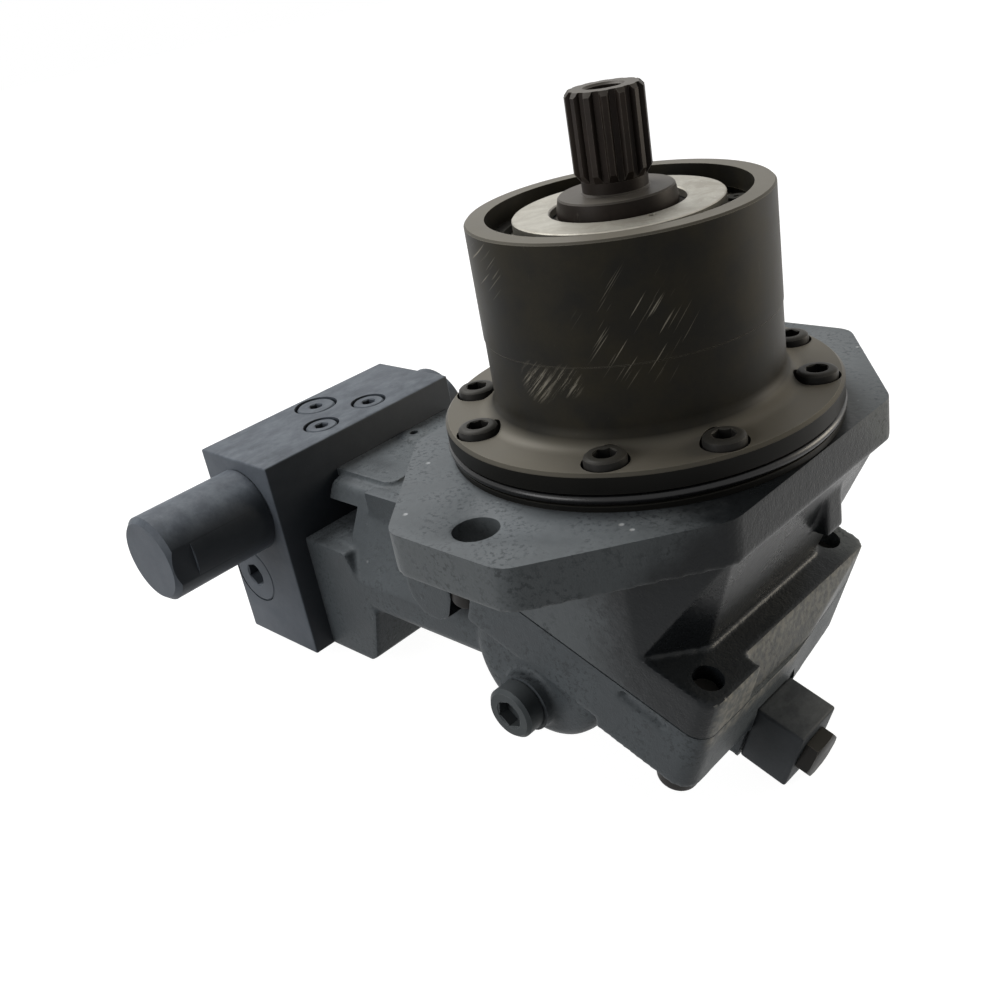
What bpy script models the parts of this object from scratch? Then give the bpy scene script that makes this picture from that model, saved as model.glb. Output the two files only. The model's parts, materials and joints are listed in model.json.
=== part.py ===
"""Bent-axis hydraulic drive motor of an excavator's final drive, with its counterbalance valve block.

Metres, +Z up along the drive shaft. The origin is the centre of the mounting face, where the flange
meets the gearbox hub. The two mounting holes lie along Y, and the valve block stands toward -X.
The cylinder block swivels in the XZ plane and is shown at zero displacement, in line with the shaft.
"""

from math import asin, cos, degrees, pi, radians, sin, sqrt, tan

import bmesh
import bpy
from mathutils import Matrix, Vector

# Driving dimensions
GAP = 0.0003
WELD = 0.00001
PILOT_RADIUS = 0.080
BOLT_SPACING = 0.200
BOLT_HOLE_RADIUS = 0.009
FLANGE_THICKNESS = 0.018
SLEEVE_RADIUS = 0.0586
SLEEVE_TOP = 0.0916
SLEEVE_SIDES = 24
SHAFT_END = 0.132
SPLINE_RADIUS = 0.0148
SPLINE_TEETH = 14
BEARING_BORE = 0.025
BEARING_OUTSIDE = 0.045
DRIVE_FLANGE_RADIUS = 0.041
DRIVE_FLANGE_TOP = 0.0163
PISTON_COUNT = 7
PISTON_CIRCLE = 0.030
BALL_SOCKET_RADIUS = 0.0088
BLOCK_RADIUS = 0.041
BLOCK_TOP = -0.0163
BLOCK_BOTTOM = -0.076
LENS_THICKNESS = 0.0117
SWIVEL_RADIUS = GAP - BLOCK_BOTTOM + LENS_THICKNESS
PARTING_TILT = radians(20.4)
PARTING_DEPTH = -0.07334
HALF_WIDTH = 0.065
PLATE_THICKNESS = 0.027
CONTROL_BORE_DEPTH = -0.0413
CONTROL_BORE_RADIUS = 0.0142
CONTROL_PIN_LEAN = radians(12)
VALVE_RIGHT = -0.194
VALVE_DEPTH = 0.059
VALVE_LEFT = VALVE_RIGHT - VALVE_DEPTH
VALVE_BOTTOM = -0.146
VALVE_TOP = -0.033
SPOOL_X = VALVE_RIGHT - 0.0283
SPOOL_Z = -0.0622
SPOOL_RADIUS = 0.012
PASSAGE_Z = -0.097
PASSAGE_Y = 0.024
SERVICE_PORT_Y = 0.028
FLUSHING_V = -0.00325
FLUSHING_H = -0.03575
SPIGOT_RADIUS = 0.0517
SPIGOT_END = -0.008
SCREW_SEAT = 0.0085
PLATE_SCREW_Y = HALF_WIDTH - 0.0124
PLATE_SCREWS = ((0.0566, -PLATE_SCREW_Y), (0.046, PLATE_SCREW_Y))
REAR_SCREW_Y = HALF_WIDTH - 0.008
REAR_SCREWS = ((-0.061, -REAR_SCREW_Y), (-0.061, REAR_SCREW_Y))
REAR_SEAT = -0.014
SCREW_BOSS_END = -0.0325
GAUGE_BOSS_END = HALF_WIDTH - 0.001
GAUGE_X = -0.034
GAUGE_Z = -0.116
TOP_PLUG_SEAT = -0.0395
TOP_PLUG_LARGE = (VALVE_LEFT + 0.015, 0.003)
TOP_PLUG_SMALL_X = VALVE_RIGHT - 0.0175
TOP_PLUGS_SMALL = ((TOP_PLUG_SMALL_X, 0.020), (TOP_PLUG_SMALL_X, -0.014))
FRONT_PLUG = (VALVE_LEFT + 0.0177, -0.107)
FRONT_PLUG_SEAT = HALF_WIDTH - 0.004
PORT_DEPTH = 0.027
VALVE_SCREW_SEAT = VALVE_LEFT + 0.0105
VALVE_SCREW_END = -0.1765
PAD_HALF_WIDTH = HALF_WIDTH - 0.012
SPOOL_END = HALF_WIDTH - 0.015
CAP_END = HALF_WIDTH + 0.060
SPRING_END = CAP_END - 0.008
REAR_SPRING_END = HALF_WIDTH + 0.009

# Frames: WORLD, the sloping parting plane (x down the slope, z up from it), and axes along Y, X and the slope
WORLD = Matrix.Identity(4)
PLATE = Matrix.Translation((0, 0, PARTING_DEPTH)) @ Matrix.Rotation(PARTING_TILT, 4, "Y")
PIN = Matrix.Rotation(CONTROL_PIN_LEAN, 4, "Y")
ALONG_Y = Matrix(((1, 0, 0, 0), (0, 0, -1, 0), (0, 1, 0, 0), (0, 0, 0, 1)))
ALONG_X = Matrix(((0, 0, 1, 0), (1, 0, 0, 0), (0, 1, 0, 0), (0, 0, 0, 1)))
ALONG_SLOPE = PLATE @ ALONG_X


def new_collection(name):
    made = bpy.data.collections.new(name)
    bpy.context.scene.collection.children.link(made)
    return made


def new_material(name, colour, roughness, metallic):
    made = bpy.data.materials.new(name)
    made.use_nodes = True
    surface = made.node_tree.nodes["Principled BSDF"]
    surface.inputs["Base Color"].default_value = (*colour, 1)
    surface.inputs["Roughness"].default_value = roughness
    surface.inputs["Metallic"].default_value = metallic
    return made


def placed(x, y, z, frame=WORLD):
    """The frame moved to a point given in its own coordinates."""
    return frame @ Matrix.Translation((x, y, z))


def tool(name, data, frame):
    """A construction shape, drawn as a wire and left out of renders."""
    made = bpy.data.objects.new(name, data)
    made.matrix_world = frame
    made.display_type = "WIRE"
    made.hide_render = True
    CUTTERS.objects.link(made)
    return made


def settled(shape):
    """Turns a curve or a shape with modifiers into one welded mesh that faces out."""
    graph = bpy.context.evaluated_depsgraph_get()
    mesh = bpy.data.meshes.new_from_object(shape.evaluated_get(graph))
    faces = bmesh.new()
    faces.from_mesh(mesh)
    bmesh.ops.remove_doubles(faces, verts=faces.verts, dist=WELD)
    bmesh.ops.recalc_face_normals(faces, faces=faces.faces)
    faces.to_mesh(mesh)
    faces.free()
    mesh.shade_smooth()
    mesh.set_sharp_from_angle(angle=radians(35))
    name = shape.name
    frame = shape.matrix_world.copy()
    bpy.data.objects.remove(shape)
    return tool(name, mesh, frame)


def primitive(name, maker, frame, **sizes):
    """A solid from one of bmesh's primitives."""
    mesh = bpy.data.meshes.new(name)
    faces = bmesh.new()
    maker(faces, **sizes)
    faces.to_mesh(mesh)
    faces.free()
    mesh.shade_smooth()
    mesh.set_sharp_from_angle(angle=radians(35))
    return tool(name, mesh, frame)


def rod(name, radius, low, high, frame=WORLD, at=(0, 0), sides=12):
    """A cylinder along the frame's Z axis."""
    middle = Matrix.Translation((at[0], at[1], (low + high) / 2))
    return primitive(name, bmesh.ops.create_cone, frame, cap_ends=True, segments=sides,
                     radius1=radius, radius2=radius, depth=high - low, matrix=middle)


def block(name, low, high, frame=WORLD):
    """A box from its lowest to its highest corner."""
    low = Vector(low)
    high = Vector(high)
    shape = Matrix.Translation((low + high) / 2) @ Matrix.Diagonal((*(high - low), 1))
    return primitive(name, bmesh.ops.create_cube, frame, size=1, matrix=shape)


def ball(name, radius, frame, at=(0, 0, 0)):
    return primitive(name, bmesh.ops.create_uvsphere, frame, u_segments=12, v_segments=5,
                     radius=radius, matrix=Matrix.Translation(at))


def prism(name, outline, low, high, frame=WORLD):
    """A flat outline given thickness along the frame's Z axis."""
    curve = bpy.data.curves.new(name, "CURVE")
    curve.dimensions = "2D"
    curve.fill_mode = "BOTH"
    curve.extrude = (high - low) / 2
    spline = curve.splines.new("POLY")
    spline.points.add(len(outline) - 1)
    for point, (x, y) in zip(spline.points, outline):
        point.co = (x, y, 0, 1)
    spline.use_cyclic_u = True
    return settled(tool(name, curve, placed(0, 0, (low + high) / 2, frame)))


def turned(name, profile, frame=WORLD, sides=24):
    """Points of radius and height turned about the frame's Z axis, a ring if none lies on the axis."""
    count = len(profile)
    edges = [(index, index + 1) for index in range(count - 1)]
    if min(radius for radius, height in profile) > 0:
        edges.append((count - 1, 0))
    mesh = bpy.data.meshes.new(name)
    mesh.from_pydata([(radius, 0, height) for radius, height in profile], edges, [])
    shape = tool(name, mesh, frame)
    turn = shape.modifiers.new("Turn", "SCREW")
    turn.steps = sides
    turn.render_steps = sides
    turn.use_merge_vertices = True
    turn.merge_threshold = WELD
    return settled(shape)


def coil(name, radius, wire_radius, low, high, turns, frame=WORLD):
    """A round wire wound about the frame's Z axis."""
    steps = 7
    curve = bpy.data.curves.new(name, "CURVE")
    curve.dimensions = "3D"
    curve.bevel_depth = wire_radius
    curve.bevel_resolution = 0
    curve.use_fill_caps = True
    spline = curve.splines.new("POLY")
    spline.points.add(turns * steps)
    for index, point in enumerate(spline.points):
        angle = 2 * pi * index / steps
        height = low + (high - low) * index / (turns * steps)
        point.co = (radius * cos(angle), radius * sin(angle), height, 1)
    return settled(tool(name, curve, frame))


def loft(name, lower, upper):
    """Straight walls between two outlines with as many corners, each corner in world coordinates."""
    mesh = bpy.data.meshes.new(name)
    faces = bmesh.new()
    low_ring = [faces.verts.new(corner) for corner in lower]
    high_ring = [faces.verts.new(corner) for corner in upper]
    faces.faces.new(low_ring)
    faces.faces.new(high_ring)
    for index in range(len(lower)):
        following = (index + 1) % len(lower)
        faces.faces.new((low_ring[index], low_ring[following], high_ring[following], high_ring[index]))
    bmesh.ops.triangulate(faces, faces=faces.faces)
    bmesh.ops.recalc_face_normals(faces, faces=faces.faces)
    faces.to_mesh(mesh)
    faces.free()
    return tool(name, mesh, WORLD)


def arc(radius, start, end, steps, centre=(0, 0)):
    """Points on an arc, in degrees."""
    points = []
    for step in range(steps + 1):
        angle = radians(start + (end - start) * step / steps)
        points.append((centre[0] + radius * cos(angle), centre[1] + radius * sin(angle)))
    return points


def rounded(corners, radii, steps=3):
    """An outline whose corners are arcs, with one radius for each corner."""
    outline = []
    for index, corner in enumerate(corners):
        here = Vector(corner)
        before = (Vector(corners[index - 1]) - here).normalized()
        after = (Vector(corners[(index + 1) % len(corners)]) - here).normalized()
        half = before.angle(after) / 2
        centre = here + (before + after).normalized() * radii[index] / sin(half)
        first = here + before * radii[index] / tan(half) - centre
        last = here + after * radii[index] / tan(half) - centre
        for step in range(steps + 1):
            outline.append(centre + first.lerp(last, step / steps).normalized() * radii[index])
    return outline


def hexagon(across_flats, turn=0):
    return arc(across_flats / sqrt(3), turn, turn + 300, 5)


def changed(target, operation, tools):
    for other in tools:
        change = target.modifiers.new(other.name, "BOOLEAN")
        change.operation = operation
        change.solver = "EXACT"
        change.object = other
    return target


def join(target, *tools):
    return changed(target, "UNION", tools)


def cut(target, *tools):
    return changed(target, "DIFFERENCE", tools)


def keep_inside(target, *tools):
    return changed(target, "INTERSECT", tools)


def bevelled(shape, width, segments=1):
    edge = shape.modifiers.new("Edges", "BEVEL")
    edge.width = width
    edge.segments = segments
    edge.limit_method = "ANGLE"
    edge.angle_limit = radians(40)
    return shape


def piece(name, shape, material, axis=None):
    """Makes a construction shape a named piece of the motor."""
    CUTTERS.objects.unlink(shape)
    MOTOR.objects.link(shape)
    shape.name = name
    shape.data.name = name
    shape.data.materials.clear()
    shape.data.materials.append(material)
    shape.display_type = "TEXTURED"
    shape.hide_render = False
    if axis:
        shape.parent = axis
        shape.matrix_parent_inverse = axis.matrix_world.inverted()
    return shape


def axis_empty(name):
    """An empty on the main axis that carries the pieces turning together."""
    made = bpy.data.objects.new(name, None)
    made.empty_display_size = 0.02
    MOTOR.objects.link(made)
    return made


def socket_screw(name, frame, thread_radius, head_radius, head_height, length, hex_size, sides=10):
    """A cap screw whose seat is the frame's XY plane and whose head points along +Z."""
    body = turned(name, [(0, head_height), (head_radius, head_height), (head_radius, 0),
                         (thread_radius, 0), (thread_radius, -length), (0, -length)], frame, sides)
    socket = prism(name + "_socket", hexagon(hex_size), head_height * 0.45, head_height + 0.001, frame)
    return piece(name, cut(body, socket), BLACK_OXIDE)


def socket_plug(name, frame, head_radius, head_height, thread_radius, length, hex_size, material):
    """A threaded plug whose seat is the frame's XY plane, with a hexagon socket in its head."""
    body = turned(name, [(0, head_height), (head_radius - 0.0008, head_height),
                         (head_radius, head_height - 0.0008), (head_radius, 0),
                         (thread_radius, 0), (thread_radius, -length), (0, -length)], frame, 14)
    socket = prism(name + "_socket", hexagon(hex_size, 20), head_height - 0.006, head_height + 0.001, frame)
    return piece(name, cut(body, socket), material)


def around(count, radius, start=0):
    """Places evenly round a circle."""
    return arc(radius, start, start + 360 * (count - 1) / count, count - 1)


def screw_pairs():
    """The eight sleeve screws stand in four pairs on one circle."""
    pair_circle = PILOT_RADIUS - 0.0105
    pair_half_angle = 17.8
    places = []
    for quarter in (45, 135, 225, 315):
        for side in (-1, 1):
            angle = radians(quarter + side * pair_half_angle)
            places.append((pair_circle * cos(angle), pair_circle * sin(angle)))
    return places


def drive_shaft():
    neck = 0.0125
    neck_top = 0.1005
    collar_top = 0.0949
    journal = BEARING_BORE - GAP
    body = turned("drive_shaft", [(0, neck_top), (neck, neck_top), (neck, collar_top), (0.0222, collar_top),
                                  (0.0231, 0.090), (0.0231, 0.0875), (0.0242, 0.0865), (0.0242, 0.071),
                                  (journal, 0.0705), (journal, DRIVE_FLANGE_TOP),
                                  (DRIVE_FLANGE_RADIUS, DRIVE_FLANGE_TOP), (DRIVE_FLANGE_RADIUS, 0), (0, 0)])
    root = 0.0128
    outline = []
    for tooth in range(SPLINE_TEETH):
        middle = 360 * tooth / SPLINE_TEETH
        for radius, offset in ((root, -8), (SPLINE_RADIUS, -4.8), (SPLINE_RADIUS, 4.8), (root, 8)):
            angle = radians(middle + offset)
            outline.append((radius * cos(angle), radius * sin(angle)))
    spline = prism("spline", outline, neck_top - 0.001, SHAFT_END)
    clear = 0.0165
    end_chamfer = turned("end_chamfer", [(clear, SHAFT_END + 0.0005), (clear, SHAFT_END - 0.0034),
                                         (0.0126, SHAFT_END + 0.0005)],
                         sides=SPLINE_TEETH)
    run_out = turned("run_out", [(clear, 0.1055), (clear, neck_top - 0.002), (0.0124, neck_top - 0.002)],
                     sides=SPLINE_TEETH)
    cut(spline, end_chamfer, run_out)
    centre_hole = turned("centre_hole", [(0, SHAFT_END + 0.001), (0.0068, SHAFT_END + 0.001),
                                         (0.0068, 0.128), (0, 0.124)], sides=SPLINE_TEETH)
    join(body, spline)
    cut(body, centre_hole)
    for x, y in around(PISTON_COUNT, PISTON_CIRCLE):
        cut(body, ball("ball_socket", BALL_SOCKET_RADIUS, WORLD, (x, y, 0)))
    cut(body, ball("centre_socket", 0.0078, WORLD))
    return piece("drive_shaft", body, DARK_STEEL, SHAFT_AXIS)


def ball_plate():
    body = rod("ball_retaining_plate", DRIVE_FLANGE_RADIUS, -0.0058, -GAP, sides=24)
    for x, y in around(PISTON_COUNT, PISTON_CIRCLE):
        cut(body, ball("ball_opening", BALL_SOCKET_RADIUS, WORLD, (x, y, 0)))
    cut(body, rod("pin_opening", 0.012, -0.007, 0.001))
    return piece("ball_retaining_plate", body, BARE_STEEL, SHAFT_AXIS)


def seal_and_carrier():
    seal = turned("shaft_seal", [(0.033, 0.086), (0.033, 0.078), (0.0300, 0.078), (0.0285, 0.0825),
                                 (0.0246, 0.079), (0.0246, 0.086)])
    piece("shaft_seal", seal, RUBBER)
    top = 0.0895
    lip = 0.0863
    shoulder = 0.080
    bottom = 0.072
    carrier = turned("seal_carrier", [(0.0400, top), (0.0405, top - 0.0005), (0.0405, shoulder),
                                      (0.0502, shoulder), (0.0502, bottom), (0.0333, bottom),
                                      (0.0333, lip), (0.026, lip), (0.026, top)])
    cut(carrier, rod("pin_hole", 0.0016, lip - 0.001, top + 0.001, at=(0.0259, -0.0131), sides=8))
    piece("seal_carrier", carrier, BARE_STEEL)


def retaining_ring():
    """A spring ring, open at one side, with an ear and a tool hole at each end."""
    low = 0.0803
    high = 0.083
    outside = 0.0525
    inside = 0.046
    ears = (53, 77)
    outline = arc(outside, ears[1], ears[0] + 360, 20) + arc(inside, ears[0] + 360, ears[1], 20)
    ring = prism("retaining_ring", outline, low, high)
    for azimuth in ears:
        x, y = arc(0.0468, azimuth, azimuth, 1)[0]
        join(ring, rod("ear", 0.0039, low + 0.0002, high - 0.0002, at=(x, y), sides=10))
    for azimuth in ears:
        x, y = arc(0.0463, azimuth, azimuth, 1)[0]
        cut(ring, rod("ear_hole", 0.0013, low - 0.001, high + 0.001, at=(x, y), sides=6))
    piece("retaining_ring", ring, BLACK_OXIDE)


def nose_sleeve():
    """The sleeve that holds the bearings, with its pilot ring, seal groove and spigot in one turning."""
    ring_top = 0.0155
    ring_chamfer = 0.0012
    land_top = 0.0075
    land_bottom = 0.0025
    groove = PILOT_RADIUS - 0.0036
    rim = 0.05065
    bore = BEARING_OUTSIDE + GAP
    rib = 0.041
    outer = [(rim, SLEEVE_TOP), (SLEEVE_RADIUS - 0.0008, SLEEVE_TOP), (SLEEVE_RADIUS, SLEEVE_TOP - 0.0008)]
    foot_fillet = arc(0.008, 180, 270, 2, (SLEEVE_RADIUS + 0.008, ring_top + 0.008))
    ring = [(PILOT_RADIUS - ring_chamfer, ring_top), (PILOT_RADIUS, ring_top - ring_chamfer),
            (PILOT_RADIUS, land_top),
            (groove, land_top), (groove, land_bottom), (PILOT_RADIUS - 0.0005, land_bottom),
            (PILOT_RADIUS - 0.0005, GAP), (SPIGOT_RADIUS, GAP), (SPIGOT_RADIUS, SPIGOT_END)]
    inner = [(bore, SPIGOT_END), (bore, 0.0384), (rib, 0.0384), (rib, 0.0487), (bore, 0.0487),
             (bore, 0.0717), (rim, 0.0717), (rim, 0.080), (0.053, 0.080), (0.053, 0.0833), (rim, 0.0833)]
    sleeve = turned("nose_sleeve", outer + foot_fillet + ring + inner, sides=SLEEVE_SIDES)
    for x, y in screw_pairs():
        cut(sleeve, rod("counterbore", 0.0090, SCREW_SEAT, ring_top + 0.012, at=(x, y), sides=10))
        cut(sleeve, rod("screw_hole", 0.0053, -0.001, SCREW_SEAT + 0.001, at=(x, y)))
    piece("nose_sleeve", sleeve, BLACK_OXIDE)
    for number, (x, y) in enumerate(screw_pairs(), 1):
        seat = placed(x, y, SCREW_SEAT + GAP)
        socket_screw(f"sleeve_screw_{number}", seat, 0.005, 0.008, 0.010, 0.020, 0.008)


def pilot_o_ring():
    outline = arc(0.0019, 120, -180, 5, (PILOT_RADIUS - 0.0014, 0.005))
    piece("pilot_o_ring", turned("pilot_o_ring", outline, sides=SLEEVE_SIDES), RUBBER)


def taper_bearing(prefix, middle, upward):
    """Cup, cone and a caged set of rollers whose thick ends point along upward, +1 or -1."""
    pitch = 0.035
    lean = radians(11)
    half_taper = radians(2)
    roller_length = 0.014
    roller_count = 12
    apex = pitch / tan(lean)
    inner_clearance = 0.0003
    outer_clearance = 0.0007
    inner_slope = tan(lean - half_taper)
    outer_slope = tan(lean + half_taper)

    def inner_race(height):
        return (height + apex) * inner_slope - inner_clearance

    def outer_race(height):
        return (height + apex) * outer_slope + outer_clearance

    mirror = Matrix.Identity(4) if upward > 0 else Matrix.Rotation(pi, 4, "X")
    frame = Matrix.Translation((0, 0, middle)) @ mirror
    cup = turned(prefix + "_cup", [(BEARING_OUTSIDE, 0.0085), (BEARING_OUTSIDE, -0.0105),
                                   (outer_race(-0.0105), -0.0105), (outer_race(0.0085), 0.0085)], frame)
    piece(prefix + "_cup", cup, BEARING_STEEL)
    rib = 0.0325
    cone = turned(prefix + "_cone", [(rib, 0.0110), (rib, 0.0084), (inner_race(0.0089), 0.0089),
                                     (inner_race(-0.0105), -0.0105), (BEARING_BORE, -0.0105),
                                     (BEARING_BORE, 0.0110)], frame)
    piece(prefix + "_cone", cone, BEARING_STEEL, SHAFT_AXIS)
    cage_half_thickness = 0.0007
    cage_half_length = roller_length / 2 + 0.0016
    across = Vector((cos(lean), -sin(lean))) * cage_half_thickness
    along = Vector((sin(lean), cos(lean))) * cage_half_length
    centre = Vector((pitch, 0))
    cage = turned(prefix + "_rollers", [centre + along + across, centre - along + across,
                                        centre - along - across, centre + along - across], frame)
    small = (apex / cos(lean) - roller_length / 2) * tan(half_taper)
    large = (apex / cos(lean) + roller_length / 2) * tan(half_taper)
    for number in range(roller_count):
        spin = Matrix.Rotation(2 * pi * number / roller_count, 4, "Z")
        stand = Matrix.Translation((pitch, 0, 0)) @ Matrix.Rotation(lean, 4, "Y")
        roller = primitive("roller", bmesh.ops.create_cone, frame @ spin @ stand, cap_ends=True, segments=7,
                           radius1=small, radius2=large, depth=roller_length)
        join(cage, roller)
    piece(prefix + "_rollers", cage, BEARING_STEEL, CAGE_AXES[prefix])


def motor_housing():
    flange_corners = [(-0.080, -0.055), (-0.029, -0.118), (0.029, -0.118), (0.080, -0.055),
                      (0.080, 0.055), (0.029, 0.118), (-0.029, 0.118), (-0.080, 0.055)]
    flange_radii = [0.014, 0.012, 0.012, 0.012, 0.012, 0.012, 0.012, 0.014]
    body = prism("motor_housing", rounded(flange_corners, flange_radii, 2), -FLANGE_THICKNESS, 0)
    foot_top = 0.020
    foot_corners = [(-0.092, -HALF_WIDTH), (0.068, -HALF_WIDTH), (0.0672, 0.005), (0.059, HALF_WIDTH),
                    (-0.092, HALF_WIDTH)]
    foot_outline = rounded(foot_corners, [0.008, 0.008, 0.02, 0.006, 0.008], 2)
    foot = prism("foot", foot_outline, GAP / 2, foot_top, PLATE)
    end_slope = prism("end_slope", [(0.0668, -0.002), (0.0592, 0.0215), (0.080, 0.0215), (0.080, -0.002)],
                      -0.070, 0.032, PLATE @ ALONG_Y)
    cut(foot, end_slope)
    upper = -0.014
    side = HALF_WIDTH + 0.001
    corner = HALF_WIDTH - 0.012
    nose = HALF_WIDTH - 0.026
    back = HALF_WIDTH - 0.015
    top = [(-0.070, -side), (0.036, -side), (0.078, -corner), (0.078, corner), (0.036, side),
           (-0.070, side), (-0.078, back), (-0.078, -back)]
    bottom = [(-0.070, -HALF_WIDTH), (0.0364, -HALF_WIDTH), (0.0505, -nose), (0.0505, nose),
              (0.0364, HALF_WIDTH), (-0.070, HALF_WIDTH), (-0.084, back), (-0.084, -back)]
    inside_foot = 0.018
    upper_ring = [(x, y, upper) for x, y in top]
    lower_ring = [(x, y, PARTING_DEPTH + (inside_foot - x * sin(PARTING_TILT)) / cos(PARTING_TILT))
                  for x, y in bottom]
    join(body, loft("body", upper_ring, lower_ring), foot)
    join(body, block("wall_rib", (0.050, 0.019, -0.045), (0.0712, 0.031, -0.015)))
    wall = BLOCK_RADIUS + 0.003
    cavity_outline = [(0, -0.016), (0, -0.098), (-0.060, -0.098), (-0.079, -0.060), (-0.079, -0.036),
                      (-0.046, -0.016)]
    cut(body, prism("swivel_space", cavity_outline, -wall, wall, ALONG_Y))
    cut(body, rod("block_space", wall, -0.110, -0.020, sides=24))
    cut(body, rod("flange_space", 0.0465, -0.032, -0.005, sides=24))
    cut(body, turned("spigot_bore", [(0, 0.002), (SPIGOT_RADIUS + GAP, 0.002),
                                     (SPIGOT_RADIUS + GAP, SPIGOT_END - GAP), (0, SPIGOT_END - GAP)],
                     sides=SLEEVE_SIDES))
    for y in (-BOLT_SPACING / 2, BOLT_SPACING / 2):
        cut(body, turned("bolt_hole", [(0, 0.001), (BOLT_HOLE_RADIUS + 0.0017, 0.001),
                                       (BOLT_HOLE_RADIUS, -0.0007), (BOLT_HOLE_RADIUS, -0.020), (0, -0.020)],
                         placed(0, y, 0), 16))
    for x, y in screw_pairs():
        cut(body, rod("tapped_hole", 0.0053, -0.0155, 0.001, at=(x, y)))
    for place in PLATE_SCREWS:
        cut(body, rod("foot_hole", 0.0063, -0.002, 0.022, PLATE, place))
    for place in REAR_SCREWS:
        cut(body, rod("rear_foot_hole", 0.0053, -0.002, 0.015, PLATE, place))
    piece("motor_housing", body, PAINTED_IRON)


def seal_outline(width):
    """Half of the square seal's width each side of its line, midway between cylinder block and outer wall."""
    left = -0.0875 - width
    right = 0.0495 + width
    half = (HALF_WIDTH + BLOCK_RADIUS) / 2 - 0.005 + width
    corners = [(left, -half), (right, -half), (right, half), (left, half)]
    return rounded(corners, [0.008 + width, 0.022 + width, 0.022 + width, 0.008 + width], 3)


def housing_seal():
    ring = prism("housing_seal", seal_outline(0.0011), -0.0023, -0.0001, PLATE)
    cut(ring, prism("seal_inside", seal_outline(-0.0011), -0.004, 0.001, PLATE))
    piece("housing_seal", ring, RUBBER)


def rotating_group():
    """Cylinder block with its pistons, and the pin and spring in its centre."""
    block_body = turned("cylinder_block", [(0, BLOCK_TOP), (BLOCK_RADIUS, BLOCK_TOP), (BLOCK_RADIUS, -0.070),
                                           (0.036, BLOCK_BOTTOM), (0, BLOCK_BOTTOM)])
    bore_end = -0.070
    for x, y in around(PISTON_COUNT, PISTON_CIRCLE):
        cut(block_body, rod("cylinder", 0.0087, bore_end, BLOCK_TOP + 0.002, at=(x, y)))
        cut(block_body, rod("port", 0.004, BLOCK_BOTTOM - 0.002, bore_end + 0.002, at=(x, y), sides=6))
    cut(block_body, rod("pin_bore", 0.0093, -0.066, BLOCK_TOP + 0.002))
    piece("cylinder_block", block_body, BEARING_STEEL, BLOCK_AXIS)
    skirt = 0.0081
    for number, (x, y) in enumerate(around(PISTON_COUNT, PISTON_CIRCLE), 1):
        outline = arc(0.008, 90, -58, 3) + [(0.0042, -0.009), (skirt, -0.040), (skirt, -0.050),
                                            (0.0072, -0.052), (0, -0.052)]
        outline[0] = (0, 0.008)
        piece(f"piston_{number}", turned("piston", outline, placed(x, y, 0), 8), BEARING_STEEL, BLOCK_AXIS)
    flange = 0.0088
    outline = arc(0.007, 90, -45, 3) + [(0.005, -0.030), (flange, -0.030), (flange, -0.036), (0, -0.036)]
    outline[0] = (0, 0.007)
    piece("centre_pin", turned("centre_pin", outline, sides=10), BEARING_STEEL, BLOCK_AXIS)
    piece("centre_spring", coil("centre_spring", 0.0065, 0.0012, -0.0645, -0.0376, 4), BARE_STEEL, BLOCK_AXIS)


def control_plate():
    """The lens between cylinder block and port plate: flat above, round below, with two kidney slots."""
    half_length = BLOCK_RADIUS - 0.011
    half_width = BLOCK_RADIUS - 0.0054
    flat = BLOCK_BOTTOM - GAP
    edge = 90 - degrees(asin(half_length / SWIVEL_RADIUS))
    outline = [(-half_length, flat), (half_length, flat)] + arc(SWIVEL_RADIUS, -edge, edge - 180, 8)
    lens = prism("control_plate", outline, -half_width, half_width, ALONG_Y)
    keep_inside(lens, rod("lens_plan", BLOCK_RADIUS + 0.001, -0.095, -0.070, sides=24))
    slot = 0.0035
    for start in (50, 230):
        end = start + 80
        kidney = arc(PISTON_CIRCLE + slot, start, end, 4) + arc(PISTON_CIRCLE - slot, end, start, 4)
        cut(lens, prism("kidney", kidney, -0.095, -0.070))
    cut(lens, rod("pin_seat", 0.0061, -0.095, -0.0795, PIN))
    piece("control_plate", lens, BEARING_STEEL)
    piece("control_pin", rod("control_pin", 0.0057, -0.111, -0.080, PIN, sides=10), BEARING_STEEL)
    bore = placed(0, CONTROL_BORE_DEPTH, 0, ALONG_SLOPE)
    piston = rod("control_piston", CONTROL_BORE_RADIUS - 0.0006, -0.0244, 0.0056, bore, sides=16)
    cut(piston, rod("pin_hole", 0.0064, -0.1116, -0.080, PIN))
    piece("control_piston", piston, BEARING_STEEL)
    plug = rod("control_bore_plug", CONTROL_BORE_RADIUS - 0.0005, 0.0085, 0.0160, bore, sides=16)
    piece("control_bore_plug", plug, BLACK_OXIDE)


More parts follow.
